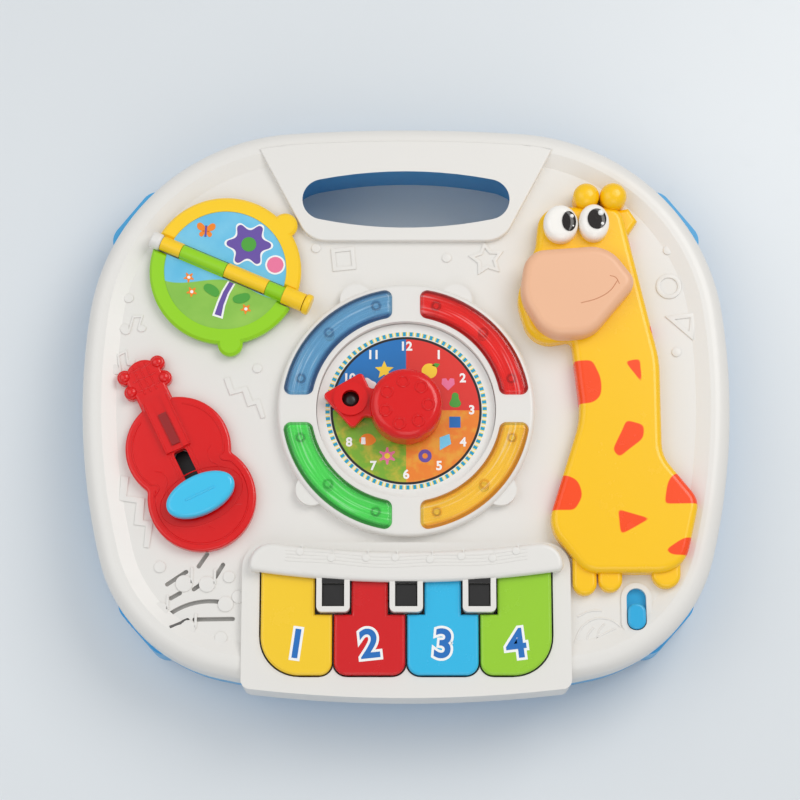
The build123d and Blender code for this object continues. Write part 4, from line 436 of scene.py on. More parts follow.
def flat_curve(loops, low, high, bevel=0.0, smooth=()):
    """A flat shape between two heights; loops inside loops are holes."""
    piece = new_curve("shape", "2D")
    for i, loop in enumerate(loops):
        add_line(piece.data, [(x, y, 0) for x, y in loop], i in smooth, True)
    piece.data.fill_mode = "BOTH"
    piece.data.extrude = (high - low) * MM / 2 - bevel * MM
    piece.data.bevel_depth = bevel * MM
    piece.data.bevel_resolution = 2
    piece.data.offset = -bevel * MM
    piece.location = (0, 0, (low + high) / 2 * MM)
    return piece


def bead_curve(paths, height, radius, closed=()):
    """Round raised lines whose middle lies at a height, or at a point's own."""
    piece = new_curve("bead", "3D")
    for i, path in enumerate(paths):
        knots = [(p[0], p[1], p[2] if len(p) > 2 else height) for p in path]
        add_line(piece.data, knots, True, i in closed)
    piece.data.bevel_depth = radius * MM
    piece.data.bevel_resolution = 3
    piece.data.use_fill_caps = True
    return piece


def lettering(text, size, low, high, centre, fatten=0.0, turn=0.0):
    """Figures that face up, raised between two heights and fattened all round."""
    bpy.ops.object.text_add(
        location=metres(*centre, (low + high) / 2), rotation=(0, 0, radians(turn))
    )
    piece = bpy.context.object
    piece.data.body = text
    piece.data.size = size * MM
    piece.data.align_x = "CENTER"
    piece.data.align_y = "CENTER"
    piece.data.extrude = (high - low) * MM / 2
    piece.data.offset = fatten * MM
    piece.data.resolution_u = 6
    return piece


def ball(place, radius, segments, rings):
    """A round bead at a place."""
    bpy.ops.mesh.primitive_uv_sphere_add(
        segments=segments, ring_count=rings, radius=radius * MM, location=metres(*place)
    )
    return bpy.context.object


def raise_disc(centre, low, radius, thick, sides):
    """A disc raised from its underside; it is left in edit mode with its top selected."""
    bpy.ops.mesh.primitive_circle_add(
        vertices=sides, radius=radius * MM, fill_type="NGON", location=metres(*centre, low)
    )
    bpy.ops.object.mode_set(mode="EDIT")
    bpy.ops.mesh.extrude_region_move(TRANSFORM_OT_translate={"value": (0, 0, thick * MM)})


def joined(pieces):
    """One mesh of several."""
    meshes = []
    for piece in pieces:
        only(piece)
        if piece.type != "MESH":
            bpy.ops.object.convert(target="MESH")
        meshes.append(bpy.context.object)
    object_mode()
    for piece in meshes:
        piece.select_set(True)
    bpy.context.view_layer.objects.active = meshes[0]
    if len(meshes) > 1:
        bpy.ops.object.join()
    return bpy.context.object


def print_layer(name, loops, top, layer, body, colour, smooth=()):
    """A thin printed shape on a surface; a higher layer lies over a lower one."""
    sheet = size_of("print_sheet")
    piece = flat_curve(loops, top - sheet, top + sheet * layer, smooth=smooth)
    finish_piece(piece, name, body, ink(colour))


# ---- Stage, in metres and watts, with the camera's lens and film in millimetres --------------
# Name, place, width, power and tint
LAMPS = (
    ("key_lamp", (0.75, 0.6, 1.3), 0.9, 9.2, (1.0, 0.985, 0.96)),
    ("fill_lamp", (-0.9, 0.1, 1.2), 1.2, 4.6, (0.97, 0.99, 1.0)),
    ("front_lamp", (0.1, -1.1, 1.2), 1.0, 3.2, (0.98, 0.99, 1.0)),
)
LAMP_AIM = Vector((0, 0, 0.05))
SKY_TINT = (0.96, 0.98, 1.0, 1)
SKY_STRENGTH = 0.52
CAMERA_AIM = Vector((-3.4, 4.05, 52.0)) * MM
CAMERA_RISE = radians(77.0)
CAMERA_DISTANCE = 1.4
CAMERA_LENS = 112.5
CAMERA_FILM = 36.0
FLOOR_WIDTH = 6.0
FLOOR_SQUARES = 40


class TABLE_OT_stage(bpy.types.Operator):
    """Floor, lamps and camera"""

    bl_idname = "table.stage"
    bl_label = "Stage"

    def execute(self, context):
        object_mode()
        bpy.ops.mesh.primitive_grid_add(
            size=FLOOR_WIDTH, x_subdivisions=FLOOR_SQUARES, y_subdivisions=FLOOR_SQUARES
        )
        floor = context.object
        floor.name = "floor"
        card = Finish("floor_card", 0.3)
        floor.data.materials.append(
            card.surface(colour_of("floor"), 0.3, tone=0.01, peel=0.01, grain=60.0)
        )
        for name, place, width, power, tint in LAMPS:
            bpy.ops.object.light_add(type="AREA", location=place)
            lamp = context.object
            lamp.name = name
            lamp.data.size = width
            lamp.data.energy = power
            lamp.data.color = tint
            lamp.rotation_euler = (LAMP_AIM - Vector(place)).to_track_quat("-Z", "Y").to_euler()
        world = bpy.data.worlds.new("studio")
        context.scene.world = world
        world.use_nodes = True
        background = world.node_tree.nodes["Background"]
        background.inputs["Color"].default_value = SKY_TINT
        background.inputs["Strength"].default_value = SKY_STRENGTH
        back = Vector((0, -cos(CAMERA_RISE), sin(CAMERA_RISE))) * CAMERA_DISTANCE
        bpy.ops.object.camera_add(
            location=CAMERA_AIM + back, rotation=(pi / 2 - CAMERA_RISE, 0, 0)
        )
        camera = context.object
        camera.data.lens = CAMERA_LENS
        camera.data.sensor_width = CAMERA_FILM
        context.scene.camera = camera
        context.scene.view_settings.view_transform = "Standard"
        object_mode()
        return {"FINISHED"}


# ---- Finishes of the model's own pieces ------------------------------------------------------
class TABLE_OT_plastics(bpy.types.Operator):
    """Moulded plastics of the shells, keys, book, violin and switch"""

    bl_idname = "table.plastics"
    bl_label = "Plastics"

    def execute(self, context):
        white = plastic("white_plastic", colour_of("shell"), 0.34, tone=0.012, peel=0.06)
        dress(white, "top_shell", "key_tray", "key_hood", "clock_bezel", "book_base")
        blue = plastic("blue_plastic", colour_of("tub"), 0.36, tone=0.03, peel=0.08)
        dress(blue, "bottom_shell", "battery_door")
        dress(blue, *[name for name in NODES if name.startswith("leg_socket_")])
        dress(plastic("red_gloss", colour_of("red"), 0.2), "violin_body", "clock_hand")
        dress(plastic("cyan_gloss", colour_of("cyan"), 0.2), "power_switch_knob")
        dress(plastic("slider_gloss", srgb(64, 198, 240), 0.16), "violin_slider")
        dress(plastic("page_yellow", srgb(255, 208, 24), 0.3), "page_upper")
        dress(plastic("page_green", colour_of("green"), 0.3), "page_lower")
        keys = (srgb(250, 206, 38), srgb(214, 10, 18), srgb(46, 186, 232), srgb(152, 208, 44))
        for i, colour in enumerate(keys, 1):
            dress(plastic("key_plastic_%d" % i, colour, 0.26), "key_%d" % i)
        dress(plastic("black_satin", srgb(24, 22, 22), 0.35), "sharp_inserts")
        dress(plastic("muzzle_plastic", colour_of("peach"), 0.4, tone=0.05), "giraffe_muzzle")
        dress(plastic("eye_gloss", srgb(250, 246, 240), 0.12), "giraffe_eyes")
        dress(plastic("pupil_gloss", srgb(26, 18, 16), 0.08), "giraffe_pupils")
        dress(plastic("grey_plastic", srgb(90, 92, 96), 0.5), "slider_carriage", "switch_body")
        return {"FINISHED"}


# Corners of the giraffe's spots, which run past its side where the side cuts them off
SPOTS = (
    ((86.0, 22.8), (103.4, 23.7), (108.4, 14.0), (107.9, 3.4), (103.5, -0.9), (86.0, -1.5)),
    ((122.0, 23.0), (130.2, 24.4), (131.0, 10.2)),
    ((135.0, 42.5), (147.0, 58.0), (147.0, 26.0)),
    ((124.5, 97.0), (142.0, 90.0), (134.0, 66.0)),
    ((122.2, -10.5), (131.5, -13.2), (131.3, -20.7), (117.5, -31.5), (114.0, -27.5)),
    ((70.0, -61.1), (70.0, -41.0), (88.0, -41.0), (94.8, -44.4), (97.3, -52.8), (92.6, -61.1)),
    ((116.0, -60.6), (134.0, -65.8), (117.6, -74.6)),
    ((142.0, -57.6), (144.1, -44.4), (148.6, -39.9), (168.0, -40.0), (168.0, -57.2)),
    ((142.0, -83.3), (152.0, -76.1), (168.0, -76.1), (168.0, -86.0), (144.7, -86.0)),
)
SPOT_CORNER = 4.0
SPOT_EDGE = 0.35


def rounded_shape(finish, points, x, y):
    """Mask of a convex shape with soft corners, 1 inside."""
    middle = [sum(values) / len(points) for values in zip(*points)]
    reach = None
    for (ax, ay), (bx, by) in zip(points, points[1:] + points[:1]):
        length = hypot(by - ay, ax - bx)
        nx, ny = (by - ay) / length, (ax - bx) / length
        offset = nx * ax + ny * ay
        if nx * middle[0] + ny * middle[1] > offset:
            nx, ny, offset = -nx, -ny, -offset
        out = x * nx + y * ny - offset
        reach = finish.maths("SMOOTH_MAX", reach, out, SPOT_CORNER) if reach else out
    return finish.below(reach, 0.0, SPOT_EDGE)


class TABLE_OT_giraffe_coat(bpy.types.Operator):
    """Yellow giraffe with orange spots"""

    bl_idname = "table.giraffe_coat"
    bl_label = "Giraffe's coat"

    def execute(self, context):
        finish = Finish("giraffe_coat", 0.26, Coat_Weight=0.15, Coat_Roughness=0.2)
        x, y = finish.split()
        wobble = (finish.noise(70.0, 1.0) - 0.5) * 1.2
        masks = [rounded_shape(finish, points, x + wobble, y) for points in SPOTS]
        spotted = masks[0]
        for mask in masks[1:]:
            spotted = finish.maths("MAXIMUM", spotted, mask)
        coat = finish.mix(spotted, colour_of("yellow"), colour_of("spots"))
        dress(finish.surface(coat, 0.26, peel=0.04), "giraffe_body")
        return {"FINISHED"}


# Anticlockwise from the back right: name, tint in the light and tint in the shade
LENS_TINTS = (
    ("red", srgb(255, 66, 60), srgb(170, 0, 6)),
    ("blue", srgb(142, 200, 232), srgb(12, 70, 130)),
    ("green", srgb(120, 246, 130), srgb(16, 140, 44)),
    ("yellow", srgb(255, 226, 92), srgb(224, 146, 6)),
)
LENS_MIDDLE = (LENS_INNER + LENS_OUTER) / 2
LENS_RIM = 2.4
LENS_RIM_SOFT = 1.2
BOSS_INNER = 1.5
BOSS_OUTER = 3.0
STREAKS_ACROSS = 0.9
STREAKS_ALONG = 1.6


class TABLE_OT_lenses(bpy.types.Operator):
    """Clear tinted lenses with their lamps, with painted light and shade, painted glints and a faint
    painted glow
    """

    bl_idname = "table.lenses"
    bl_label = "Lenses"

    def execute(self, context):
        for quarter, (name, tint, shade) in enumerate(LENS_TINTS):
            # The small emission is a painted glow: the lens itself is no lamp
            finish = Finish(
                "lens_tint_" + name, 0.08, Transmission_Weight=0.8, IOR=1.3, Coat_Weight=0.4,
                Coat_Roughness=0.05, Emission_Strength=0.14,
            )
            x, y = finish.split(CLOCK)
            reach = finish.far(x, y)
            angle = finish.maths("ARCTAN2", y, x)
            # Painted light and shade: each lens is lighter along its middle band and darker at its
            # rims
            band = finish.step(reach, LENS_INNER + LENS_RIM, LENS_RIM_SOFT)
            band = band * finish.below(reach, LENS_OUTER - LENS_RIM, LENS_RIM_SOFT)
            combed = {"X": reach * STREAKS_ACROSS, "Y": angle * STREAKS_ALONG}
            combed = finish.node("ShaderNodeCombineXYZ", {}, combed)
            streaks = finish.noise(1.0, 3.0, over=combed)
            lit = (0.25 + band * 0.75) * (0.62 + streaks * 0.55)
            # Painted shade: darker rings where the screw bosses stand under the lens
            for turn in (-LENS_SCREW_TURN, 0.0, LENS_SCREW_TURN):
                at = radians(45 + 90 * quarter + turn)
                gone = finish.far(x - LENS_MIDDLE * cos(at), y - LENS_MIDDLE * sin(at))
                ring = finish.step(gone, BOSS_INNER, 0.3) * finish.below(gone, BOSS_OUTER, 0.5)
                lit = lit * (1.0 - ring * 0.45)
            glow = finish.mix(lit, shade, tint)
            # Painted glints: white highlights along the brighter streaks
            glare = finish.step(streaks, 0.6, 0.07) * band * 0.4
            glow = finish.mix(glare, glow, srgb(250, 252, 255))
            finish.set("Base Color", glow)
            finish.set("Emission Color", glow)
            finish.set("Roughness", 0.04 + streaks * 0.08)
            finish.bump(streaks, 0.15)
            dress(finish.material, "lens_" + name)
        lamp = Finish("lamp_clear", 0.15, Transmission_Weight=0.4)
        dress(lamp.surface(srgb(236, 232, 214), 0.15, tone=0.02, peel=0.02), "lens_leds")
        return {"FINISHED"}


class TABLE_OT_hardware(bpy.types.Operator):
    """Steel, circuit boards, rubber domes, cells and loudspeaker"""

    bl_idname = "table.hardware"
    bl_label = "Hardware"

    def execute(self, context):
        steel = Finish("plated_steel", 0.3, Metallic=1.0)
        brush = steel.noise(1400.0)
        steel.set("Base Color", steel.mix(brush, srgb(176, 178, 182), srgb(206, 208, 210)))
        steel.set("Roughness", 0.22 + brush * 0.2)
        steel.bump(brush, 0.1, 0.1)
        dress(
            steel.material, "case_screws", "battery_door_screw", "tray_screws", "lens_screws",
            "knob_screw", "knob_washer", "figure_screws", "key_hinge_rod", "book_pin",
            "battery_contacts", "speaker_frame",
        )
        board = Finish("board_green", 0.4)
        lines = board.maths("SINE", board.split()[0] * 2.4)
        lanes = board.step(lines * board.noise(300.0, 1.0), 0.42, 0.04)
        copper = board.mix(lanes, srgb(20, 92, 48), srgb(60, 140, 84))
        dress(
            board.surface(copper, 0.4, tone=0.1), "main_board", "key_board", "dial_board",
            "slider_board",
        )
        domes = [name for name in NODES if name.startswith("key_dome_")]
        dress(plastic("dome_rubber", srgb(150, 150, 152), 0.6), *domes)
        cells = Finish("cell_wrap", 0.3)
        band = cells.step(cells.split()[0], 12.0, 0.2)
        wrap = cells.mix(band, srgb(40, 42, 46), srgb(196, 150, 70))
        dress(cells.surface(wrap, 0.3, tone=0.05), "batteries")
        dress(plastic("cone_paper", srgb(34, 34, 36), 0.8, tone=0.15, peel=0.3), "speaker_cone")
        return {"FINISHED"}


# ---- Deck ------------------------------------------------------------------------------------
NOTE = (
    (0, 0), (2.4, 1.6), (5.0, 1.0), (5.6, -1.4), (5.6, 8.5), (13.0, 10.8), (13.0, 3.2),
    (15.4, 3.6), (17.4, 2.2), (16.8, -0.6), (14.2, -1.6), (11.6, -0.4), (11.4, 1.8),
    (11.6, 8.6), (7.2, 7.2), (7.2, -4.2), (5.2, -6.0), (2.0, -5.6), (-0.4, -3.2),
)
ZIGZAG = (
    (0, 0), (3.2, 1.0), (5.6, -6.6), (13.0, -4.4), (16.2, -13.0), (20.2, -11.6),
    (23.4, -22.4), (21.2, -23.0), (18.2, -14.8), (13.6, -16.2), (10.6, -7.6), (3.6, -9.6),
)
SQUARE_PLACE = (-35.4, 85.1)
SQUARE_SIZES = (9.4, 6.2)
STAR_PLACE = (45.6, 85.1)
STAR_SIZES = ((10.6, 5.6), (6.6, 3.5))
CIRCLE_PLACE = (148.3, 69.1)
CIRCLE_SIZES = (7.2, 4.9)
TRIANGLE_PLACE = (157.0, 48.0)
TRIANGLE_CORNERS = ((145.6, 51.6), (163.2, 53.6), (161.2, 37.6))
DECK_DOTS = (
    (-51.0, 91.5), (23.0, 85.8), (-156.3, 62.2), (-83.3, 21.5), (148.2, 90.3), (151.7, 30.8),
)
DOT_RADIUS = 2.6
# Place, turn and scale of the notes and zigzags
DECK_NOTES = (((-160.0, 46.5), -14, 0.8), ((-165.5, 22.0), 10, 0.8))
ZIGZAG_RIGHT = ((-102.0, 15.6), 0, 1.0)
ZIGZAG_LEFT = ((-158.2, -40.0), -24, 1.35)


class TABLE_OT_deck_shapes(bpy.types.Operator):
    """Raised shapes, notes and dots on the deck"""

    bl_idname = "table.deck_shapes"
    bl_label = "Deck shapes"

    def execute(self, context):
        top = DECK + size_of("emboss")

        def raised(name, loops, smooth=()):
            white_piece(flat_curve(loops, DECK - RELIEF_SINK, top, RELIEF_EDGE, smooth), name)

        squares = [spot(ring_of(4, size, 45), SQUARE_PLACE, 6) for size in SQUARE_SIZES]
        raised("square_ring", squares)
        stars = [spot(ring_of(5, out, 90, dip), STAR_PLACE, 8) for out, dip in STAR_SIZES]
        raised("star_ring", stars)
        raised("circle_ring", [round_of(size, CIRCLE_PLACE) for size in CIRCLE_SIZES], (0, 1))
        inner = []
        for corner in TRIANGLE_CORNERS:
            inner.append([middle + (at - middle) * 0.5 for at, middle in zip(corner, TRIANGLE_PLACE)])
        raised("triangle_ring", [TRIANGLE_CORNERS, inner])
        for i, place in enumerate(DECK_DOTS, 1):
            raised("dot_%d" % i, [round_of(DOT_RADIUS, place)], (0,))
        raised("zigzag_right", [spot(ZIGZAG, *ZIGZAG_RIGHT)])
        raised("zigzag_left", [spot(ZIGZAG, *ZIGZAG_LEFT)])
        for i, where in enumerate(DECK_NOTES, 1):
            raised("note_%d" % i, [spot(NOTE, *where)])
        return {"FINISHED"}


LEAF_BEAD = 0.6
BEAD_SINK = 0.1


class TABLE_OT_leaf_relief(bpy.types.Operator):
    """Leaf veins on the deck by the switch"""

    bl_idname = "table.leaf_relief"
    bl_label = "Leaf relief"

    def execute(self, context):
        veins = [
            [(93.0, -136.5), (100.0, -132.5), (108.0, -128.0), (114.5, -125.0)],
            [(99.0, -133.0), (99.5, -128.5), (102.5, -124.5)],
            [(104.5, -130.0), (105.5, -126.0), (108.5, -122.5)],
            [(98.0, -133.6), (103.0, -136.0), (108.5, -135.5)],
            [(104.0, -130.2), (109.0, -132.6), (114.0, -130.8)],
            [(94.0, -118.5), (100.5, -115.5), (107.0, -115.2)],
        ]
        rim = [
            (92.6, -137.4), (93.6, -128.6), (99.5, -121.4), (108.0, -119.4), (116.6, -123.4),
            (118.0, -126.0), (115.0, -133.8), (107.6, -139.2), (98.6, -140.2),
        ]
        piece = bead_curve(veins + [rim], DECK - BEAD_SINK, LEAF_BEAD, closed=(len(veins),))
        white_piece(piece, "leaf_relief")
        return {"FINISHED"}


# X, Y and radius of the heads and dots, then X, Y and length of the stems
SOUND_ROUNDS = (
    (-135.5, -91.0, 3.2), (-122.1, -100.2, 4.6), (-109.4, -100.6, 4.4), (-97.4, -96.5, 3.2),
    (-99.0, -111.6, 4.2), (-92.3, -107.6, 3.4), (-134.6, -114.6, 4.0), (-119.4, -124.6, 4.2),
    (-101.3, -130.2, 3.4),
)
SOUND_STEMS = (
    (-118.6, -100.2, 9.0), (-105.9, -100.6, 8.4), (-116.0, -124.6, 8.0), (-131.6, -114.6, 8.0),
)
STEM_WIDTH = 1.4
STEM_EDGE = 0.2
SHORT_SLOT = ((-129.3, -124.7), (-124.5, -122.5), (-119.8, -120.4))
SLOT_SIDE = (-0.9, 1.9)
SLOT_BEAD = 1.0
SLOT_SINK = 0.2
CLOTH_RADIUS = 24.6
CLOTH_THICK = 0.1
CLOTH_SINK = 0.06
THREADS = 9.0


def shell_height(x, y):
    """Height of the top shell's outside over a place, in millimetres."""
    return NODES["top_shell"].ray_cast(metres(x, y, KNOB_TOP), (0, 0, -1))[1].z / MM


class TABLE_OT_sound_relief(bpy.types.Operator):
    """Raised notes round the sound slots, the painted shade of the short slot and the grey cloth
    below, whose grey is painted shade
    """

    bl_idname = "table.sound_relief"
    bl_label = "Sound relief"

    def execute(self, context):
        low, top = DECK - RELIEF_SINK, DECK + size_of("emboss")
        pieces = []
        for x, y, radius in SOUND_ROUNDS:
            pieces.append(flat_curve([round_of(radius, (x, y))], low, top, RELIEF_EDGE, (0,)))
        for x, y, rise in SOUND_STEMS:
            stem = oblong(x, y, x + STEM_WIDTH, y + rise)
            pieces.append(flat_curve([stem], low, top, STEM_EDGE))
        white_piece(joined(pieces), "sound_notes")
        # Painted shade: a dark grey bead laid along the short slot stands for the shade down the slot
        strip = []
        for x, y in SHORT_SLOT:
            beside = shell_height(x + SLOT_SIDE[0], y + SLOT_SIDE[1])
            strip.append((x, y, beside - SLOT_SINK))
        piece = bead_curve([strip], DECK, SLOT_BEAD)
        dark = plastic("slot_dark", srgb(96, 94, 92), 0.8)
        finish_piece(piece, "short_slot", "table", dark)
        # Painted shade: the grey of the cloth under the slots stands for their white backing in
        # shadow; the weave is its pattern
        raise_disc(SPEAKER, ROOF - CLOTH_SINK, CLOTH_RADIUS, CLOTH_THICK, 48)
        cloth = Finish("grille_cloth", 0.9)
        across, along = [cloth.maths("SINE", value * THREADS) for value in cloth.split()]
        weave = cloth.mix(across * along * 0.5 + 0.5, srgb(150, 148, 146), srgb(184, 182, 178))
        woven = cloth.surface(weave, 0.85, peel=0.3)
        finish_piece(context.object, "sound_cloth", "table", woven)
        return {"FINISHED"}


# ---- Keyboard --------------------------------------------------------------------------------
KEY_GAP = 0.9
END_CORNER = 21.0
END_WALL = END_CORNER + 1.6
KEY_CORNER = 7.0
KEY_WALL = KEY_CORNER + 0.5
CORNER_STEPS = 12
CORNER_SINK = 2.0
CORNER_LIFT = 0.04
WELL_FRONT = KEY_FRONT - 1.7


def well_corner(x, side, radius, wall):
    """White corner between a key's round end and the square front of its well."""
    middle = (x + side * (KEY_HALF - radius), KEY_FRONT + radius)
    reach = radius + KEY_GAP
    outline = []
    for step in range(CORNER_STEPS + 1):
        angle = radians(90 * step / CORNER_STEPS)
        along = min(reach * sin(angle), wall)
        outline.append((middle[0] + side * along, middle[1] - reach * cos(angle)))
    edge = middle[0] + side * wall
    outline += [(edge, outline[-1][1]), (edge, WELL_FRONT), (middle[0], WELL_FRONT)]
    return flat_curve([outline], BLOCK_TOP - CORNER_SINK, BLOCK_TOP + CORNER_LIFT)


class TABLE_OT_well_corners(bpy.types.Operator):
    """White corners of the key well, round the ends of the keys"""

    bl_idname = "table.well_corners"
    bl_label = "Well corners"

    def execute(self, context):
        pieces = []
        for x in KEYS_X:
            for side in (-1, 1):
                if x * side == max(KEYS_X):
                    pieces.append(well_corner(x, side, END_CORNER, END_WALL))
                else:
                    pieces.append(well_corner(x, side, KEY_CORNER, KEY_WALL))
        white_piece(joined(pieces), "well_corners")
        return {"FINISHED"}


SHARP_HALF = 6.1
SHARP_ENDS = (-101.5, -96.6)
SHARP_SHEET = 0.15


class TABLE_OT_sharp_backs(bpy.types.Operator):
    """Dark glossy backs of the raised bars, up to the hood"""

    bl_idname = "table.sharp_backs"
    bl_label = "Sharp backs"

    def execute(self, context):
        pieces = []
        for left, right in zip(KEYS_X, KEYS_X[1:]):
            x = (left + right) / 2
            outline = oblong(x - SHARP_HALF, SHARP_ENDS[0], x + SHARP_HALF, SHARP_ENDS[1])
            pieces.append(flat_curve([outline], SHARP_TOP - SHARP_SHEET, SHARP_TOP + SHARP_SHEET))
        finish_piece(joined(pieces), "sharp_backs", "table", MADE["black_satin"])
        return {"FINISHED"}


FIGURE_SIZE = 22.0
FIGURE_Y = -135.0
FIGURE_TURNS = (-8, 6, -5, 7)


class TABLE_OT_key_figures(bpy.types.Operator):
    """Blue figures with a white edge on the keys"""

    bl_idname = "table.key_figures"
    bl_label = "Key figures"

    def execute(self, context):
        sheet = size_of("print_sheet")
        parts = (("edge", "white", 1.9, 1), ("face", "blue", 0.5, 2))
        for i, (x, turn) in enumerate(zip(KEYS_X, FIGURE_TURNS), 1):
            for part, colour, fatten, layer in parts:
                high = KEY_TOP + sheet * layer
                piece = lettering(
                    str(i), FIGURE_SIZE, KEY_TOP - sheet, high, (x, FIGURE_Y), fatten, turn
                )
                name = "key_figure_%d_%s" % (i, part)
                finish_piece(piece, name, "key_%d" % i, ink(colour))
        return {"FINISHED"}


HOOD_BOW = 6.5
STAFF_Y = -87.0
STAFF_GAP = 1.9
STAFF_LINES = 4
HOOD_NOTES_X = (-58, -41, -22, -6, 13, 30, 47, 60)
HOOD_NOTES_Y = -88.6
HOOD_NOTE_RADIUS = 2.1
HOOD_SINK = 0.4


def hood_bow(x):
    """How far the hood's lines bend back at a distance from its middle."""
    return HOOD_BOW * (x / HOOD_HALF) ** 2


class TABLE_OT_hood_relief(bpy.types.Operator):
    """Raised staff and notes on the key hood"""

    bl_idname = "table.hood_relief"
    bl_label = "Hood relief"

    def execute(self, context):
        lines = []
        for i in range(STAFF_LINES):
            y = STAFF_Y - i * STAFF_GAP
            lines.append([(x, y + hood_bow(x) + 0.5 * sin(x / 9.0)) for x in range(-66, 67, 6)])
        white_piece(bead_curve(lines, HOOD_TOP - 0.05, 0.3), "hood_staff")
        notes = []
        low = HOOD_TOP - HOOD_SINK
        for x in HOOD_NOTES_X:
            y = HOOD_NOTES_Y + hood_bow(x) + 1.4 * sin(x * 1.7)
            head = round_of(HOOD_NOTE_RADIUS, (x, y))
            notes.append(flat_curve([head], low, HOOD_TOP + 0.55, 0.25, (0,)))
            stem = oblong(x + 0.9, y, x + 1.5, y + 4.6)
            notes.append(flat_curve([stem], low, HOOD_TOP + 0.35))
        white_piece(joined(notes), "hood_notes")
        return {"FINISHED"}


# ---- Clock -----------------------------------------------------------------------------------
DIAL_FACE = 40.8
DIAL_LINE = 42.2
DIAL_MARKS = (42.6, 45.0)
MINUTE_MARKS = 72.0
HOUR_REACH = 36.6
HOUR_SIZE = 7.0
PICTURE_SCALE = 1.3


class TABLE_OT_dial_print(bpy.types.Operator):
    """Printed quarters, ring and minute marks of the dial"""

    bl_idname = "table.dial_print"
    bl_label = "Dial print"

    def execute(self, context):
        finish = Finish("dial_card", 0.3, Coat_Weight=0.3, Coat_Roughness=0.15)
        x, y = finish.split(CLOCK)
        reach = finish.far(x, y)
        right = finish.step(x, 0.0)
        back = finish.mix(right, srgb(22, 116, 190), srgb(226, 48, 38))
        front = finish.mix(right, srgb(122, 176, 42), srgb(240, 132, 36))
        blotch = finish.step(finish.noise(120.0, 3.0, 0.6), 0.55, 0.12)
        front = finish.mix(blotch * 0.5, front, srgb(236, 190, 60))
        face = finish.mix(finish.step(y, 0.0), front, back)
        white = srgb(240, 240, 236)
        marks = finish.maths("SINE", finish.maths("ARCTAN2", y, x) * MINUTE_MARKS)
        dashes = finish.mix(finish.step(marks, 0.1, 0.1), srgb(250, 226, 90), srgb(24, 160, 200))
        dashes = finish.mix(finish.below(marks, -0.75, 0.1), dashes, white)
        band = finish.step(reach, DIAL_MARKS[0]) * finish.below(reach, DIAL_MARKS[1])
        rim = finish.mix(band, white, dashes)
        rim = finish.mix(finish.below(reach, DIAL_LINE), rim, srgb(16, 16, 18))
        face = finish.mix(finish.below(reach, DIAL_FACE), rim, face)
        dress(finish.surface(face, 0.3, tone=0.02, peel=0.015), "dial_plate")
        return {"FINISHED"}


class TABLE_OT_dial_figures(bpy.types.Operator):
    """White hour figures and small pictures on the dial"""

    bl_idname = "table.dial_figures"
    bl_label = "Dial figures"

    def execute(self, context):
        sheet = size_of("print_sheet")
        for hour in range(1, 13):
            place = clock_place(HOUR_REACH, 90 - 30 * hour)
            piece = lettering(str(hour), HOUR_SIZE, DIAL - sheet, DIAL + sheet, place, 0.24)
            finish_piece(piece, "hour_%d" % hour, "table", ink("white"))

        def put(name, reach, turn, colour, loops, smooth=(), layer=1, spin=0.0, scale=1.0):
            centre = clock_place(reach, turn)
            loops = [spot(loop, centre, spin, PICTURE_SCALE * scale) for loop in loops]
            print_layer("dial_" + name, loops, DIAL, layer, "table", colour, smooth)

        leaf = [(0, 0), (1.6, 1.0), (3.6, 0.6), (2.4, -1.0)]
        heart = [(0, -3.0), (2.8, -0.2), (2.6, 2.2), (0.9, 2.4), (0, 1.1)]
        heart += mirrored(heart[3:0:-1])
        cloud = [
            (-4, -1.4), (4, -1.4), (4.6, 0.4), (2.6, 1.8), (0.6, 3.0), (-2.0, 2.2), (-4.4, 0.8),
        ]
        pear = [
            (-2.4, -2.0), (0, -3.2), (2.4, -2.0), (1.6, 0.6), (0.9, 3.0), (-0.9, 3.0), (-1.6, 0.6),
        ]
        kite = [(0, 4.0), (2.8, 0.6), (0, -4.2), (-2.8, 0.6)]
        cap = [(-3.4, 0), (3.4, 0), (2.6, 2.4), (0, 3.6), (-2.6, 2.4)]
        foot = [(-1.0, -1.6), (1.0, -1.6), (0.8, 1.4), (-0.8, 1.4)]
        put("star", 26, 118, "yellow", [ring_of(5, 4.2, 90, 1.9)])
        put("cloud", 27, 147, "white", [cloud], (0,))
        put("small_star", 21, 100, "white", [ring_of(5, 1.8, 90, 0.8)])
        put("apple", 26, 60, "yellow", [ring_of(7, 3.3)], (0,))
        put("apple_leaf", 29.5, 61, "leaf", [leaf])
        put("heart", 28, 33, "pink", [heart])
        put("pear", 28, 12, "leaf", [pear], (0,))
        put("block", 28, -14, "blue", [ring_of(4, 3.4, 45)])
        put("kite", 28, -40, "sky", [kite], spin=-30)
        put("wheel", 28, -68, "purple", [round_of(2.8), round_of(1.2)], (0, 1))
        put("bloom", 28, -112, "pink", [ring_of(6, 3.8, 90, 2.0)], (0,))
        put("bloom_eye", 28, -112, "yellow", [round_of(1.2)], (0,), layer=2)
        put("mushroom", 28, -140, "orange", [cap], (0,))
        put("mushroom_foot", 29.4, -144, "white", [foot], layer=2)
        put("leaf", 29, -168, "leaf", [leaf], (0,), spin=20, scale=1.3)
        return {"FINISHED"}


KNOB_RINGS = 7
KNOB_RING_REACH = 12.2
KNOB_RING_RADIUS = 3.0
KNOB_RING_BEAD = 0.75
POINTER_EYE_REACH = 31.2
POINTER_EYE_RADIUS = 4.78
POINTER_EYE_THICK = 1.8
POINTER_EYE_STEP = 1.6


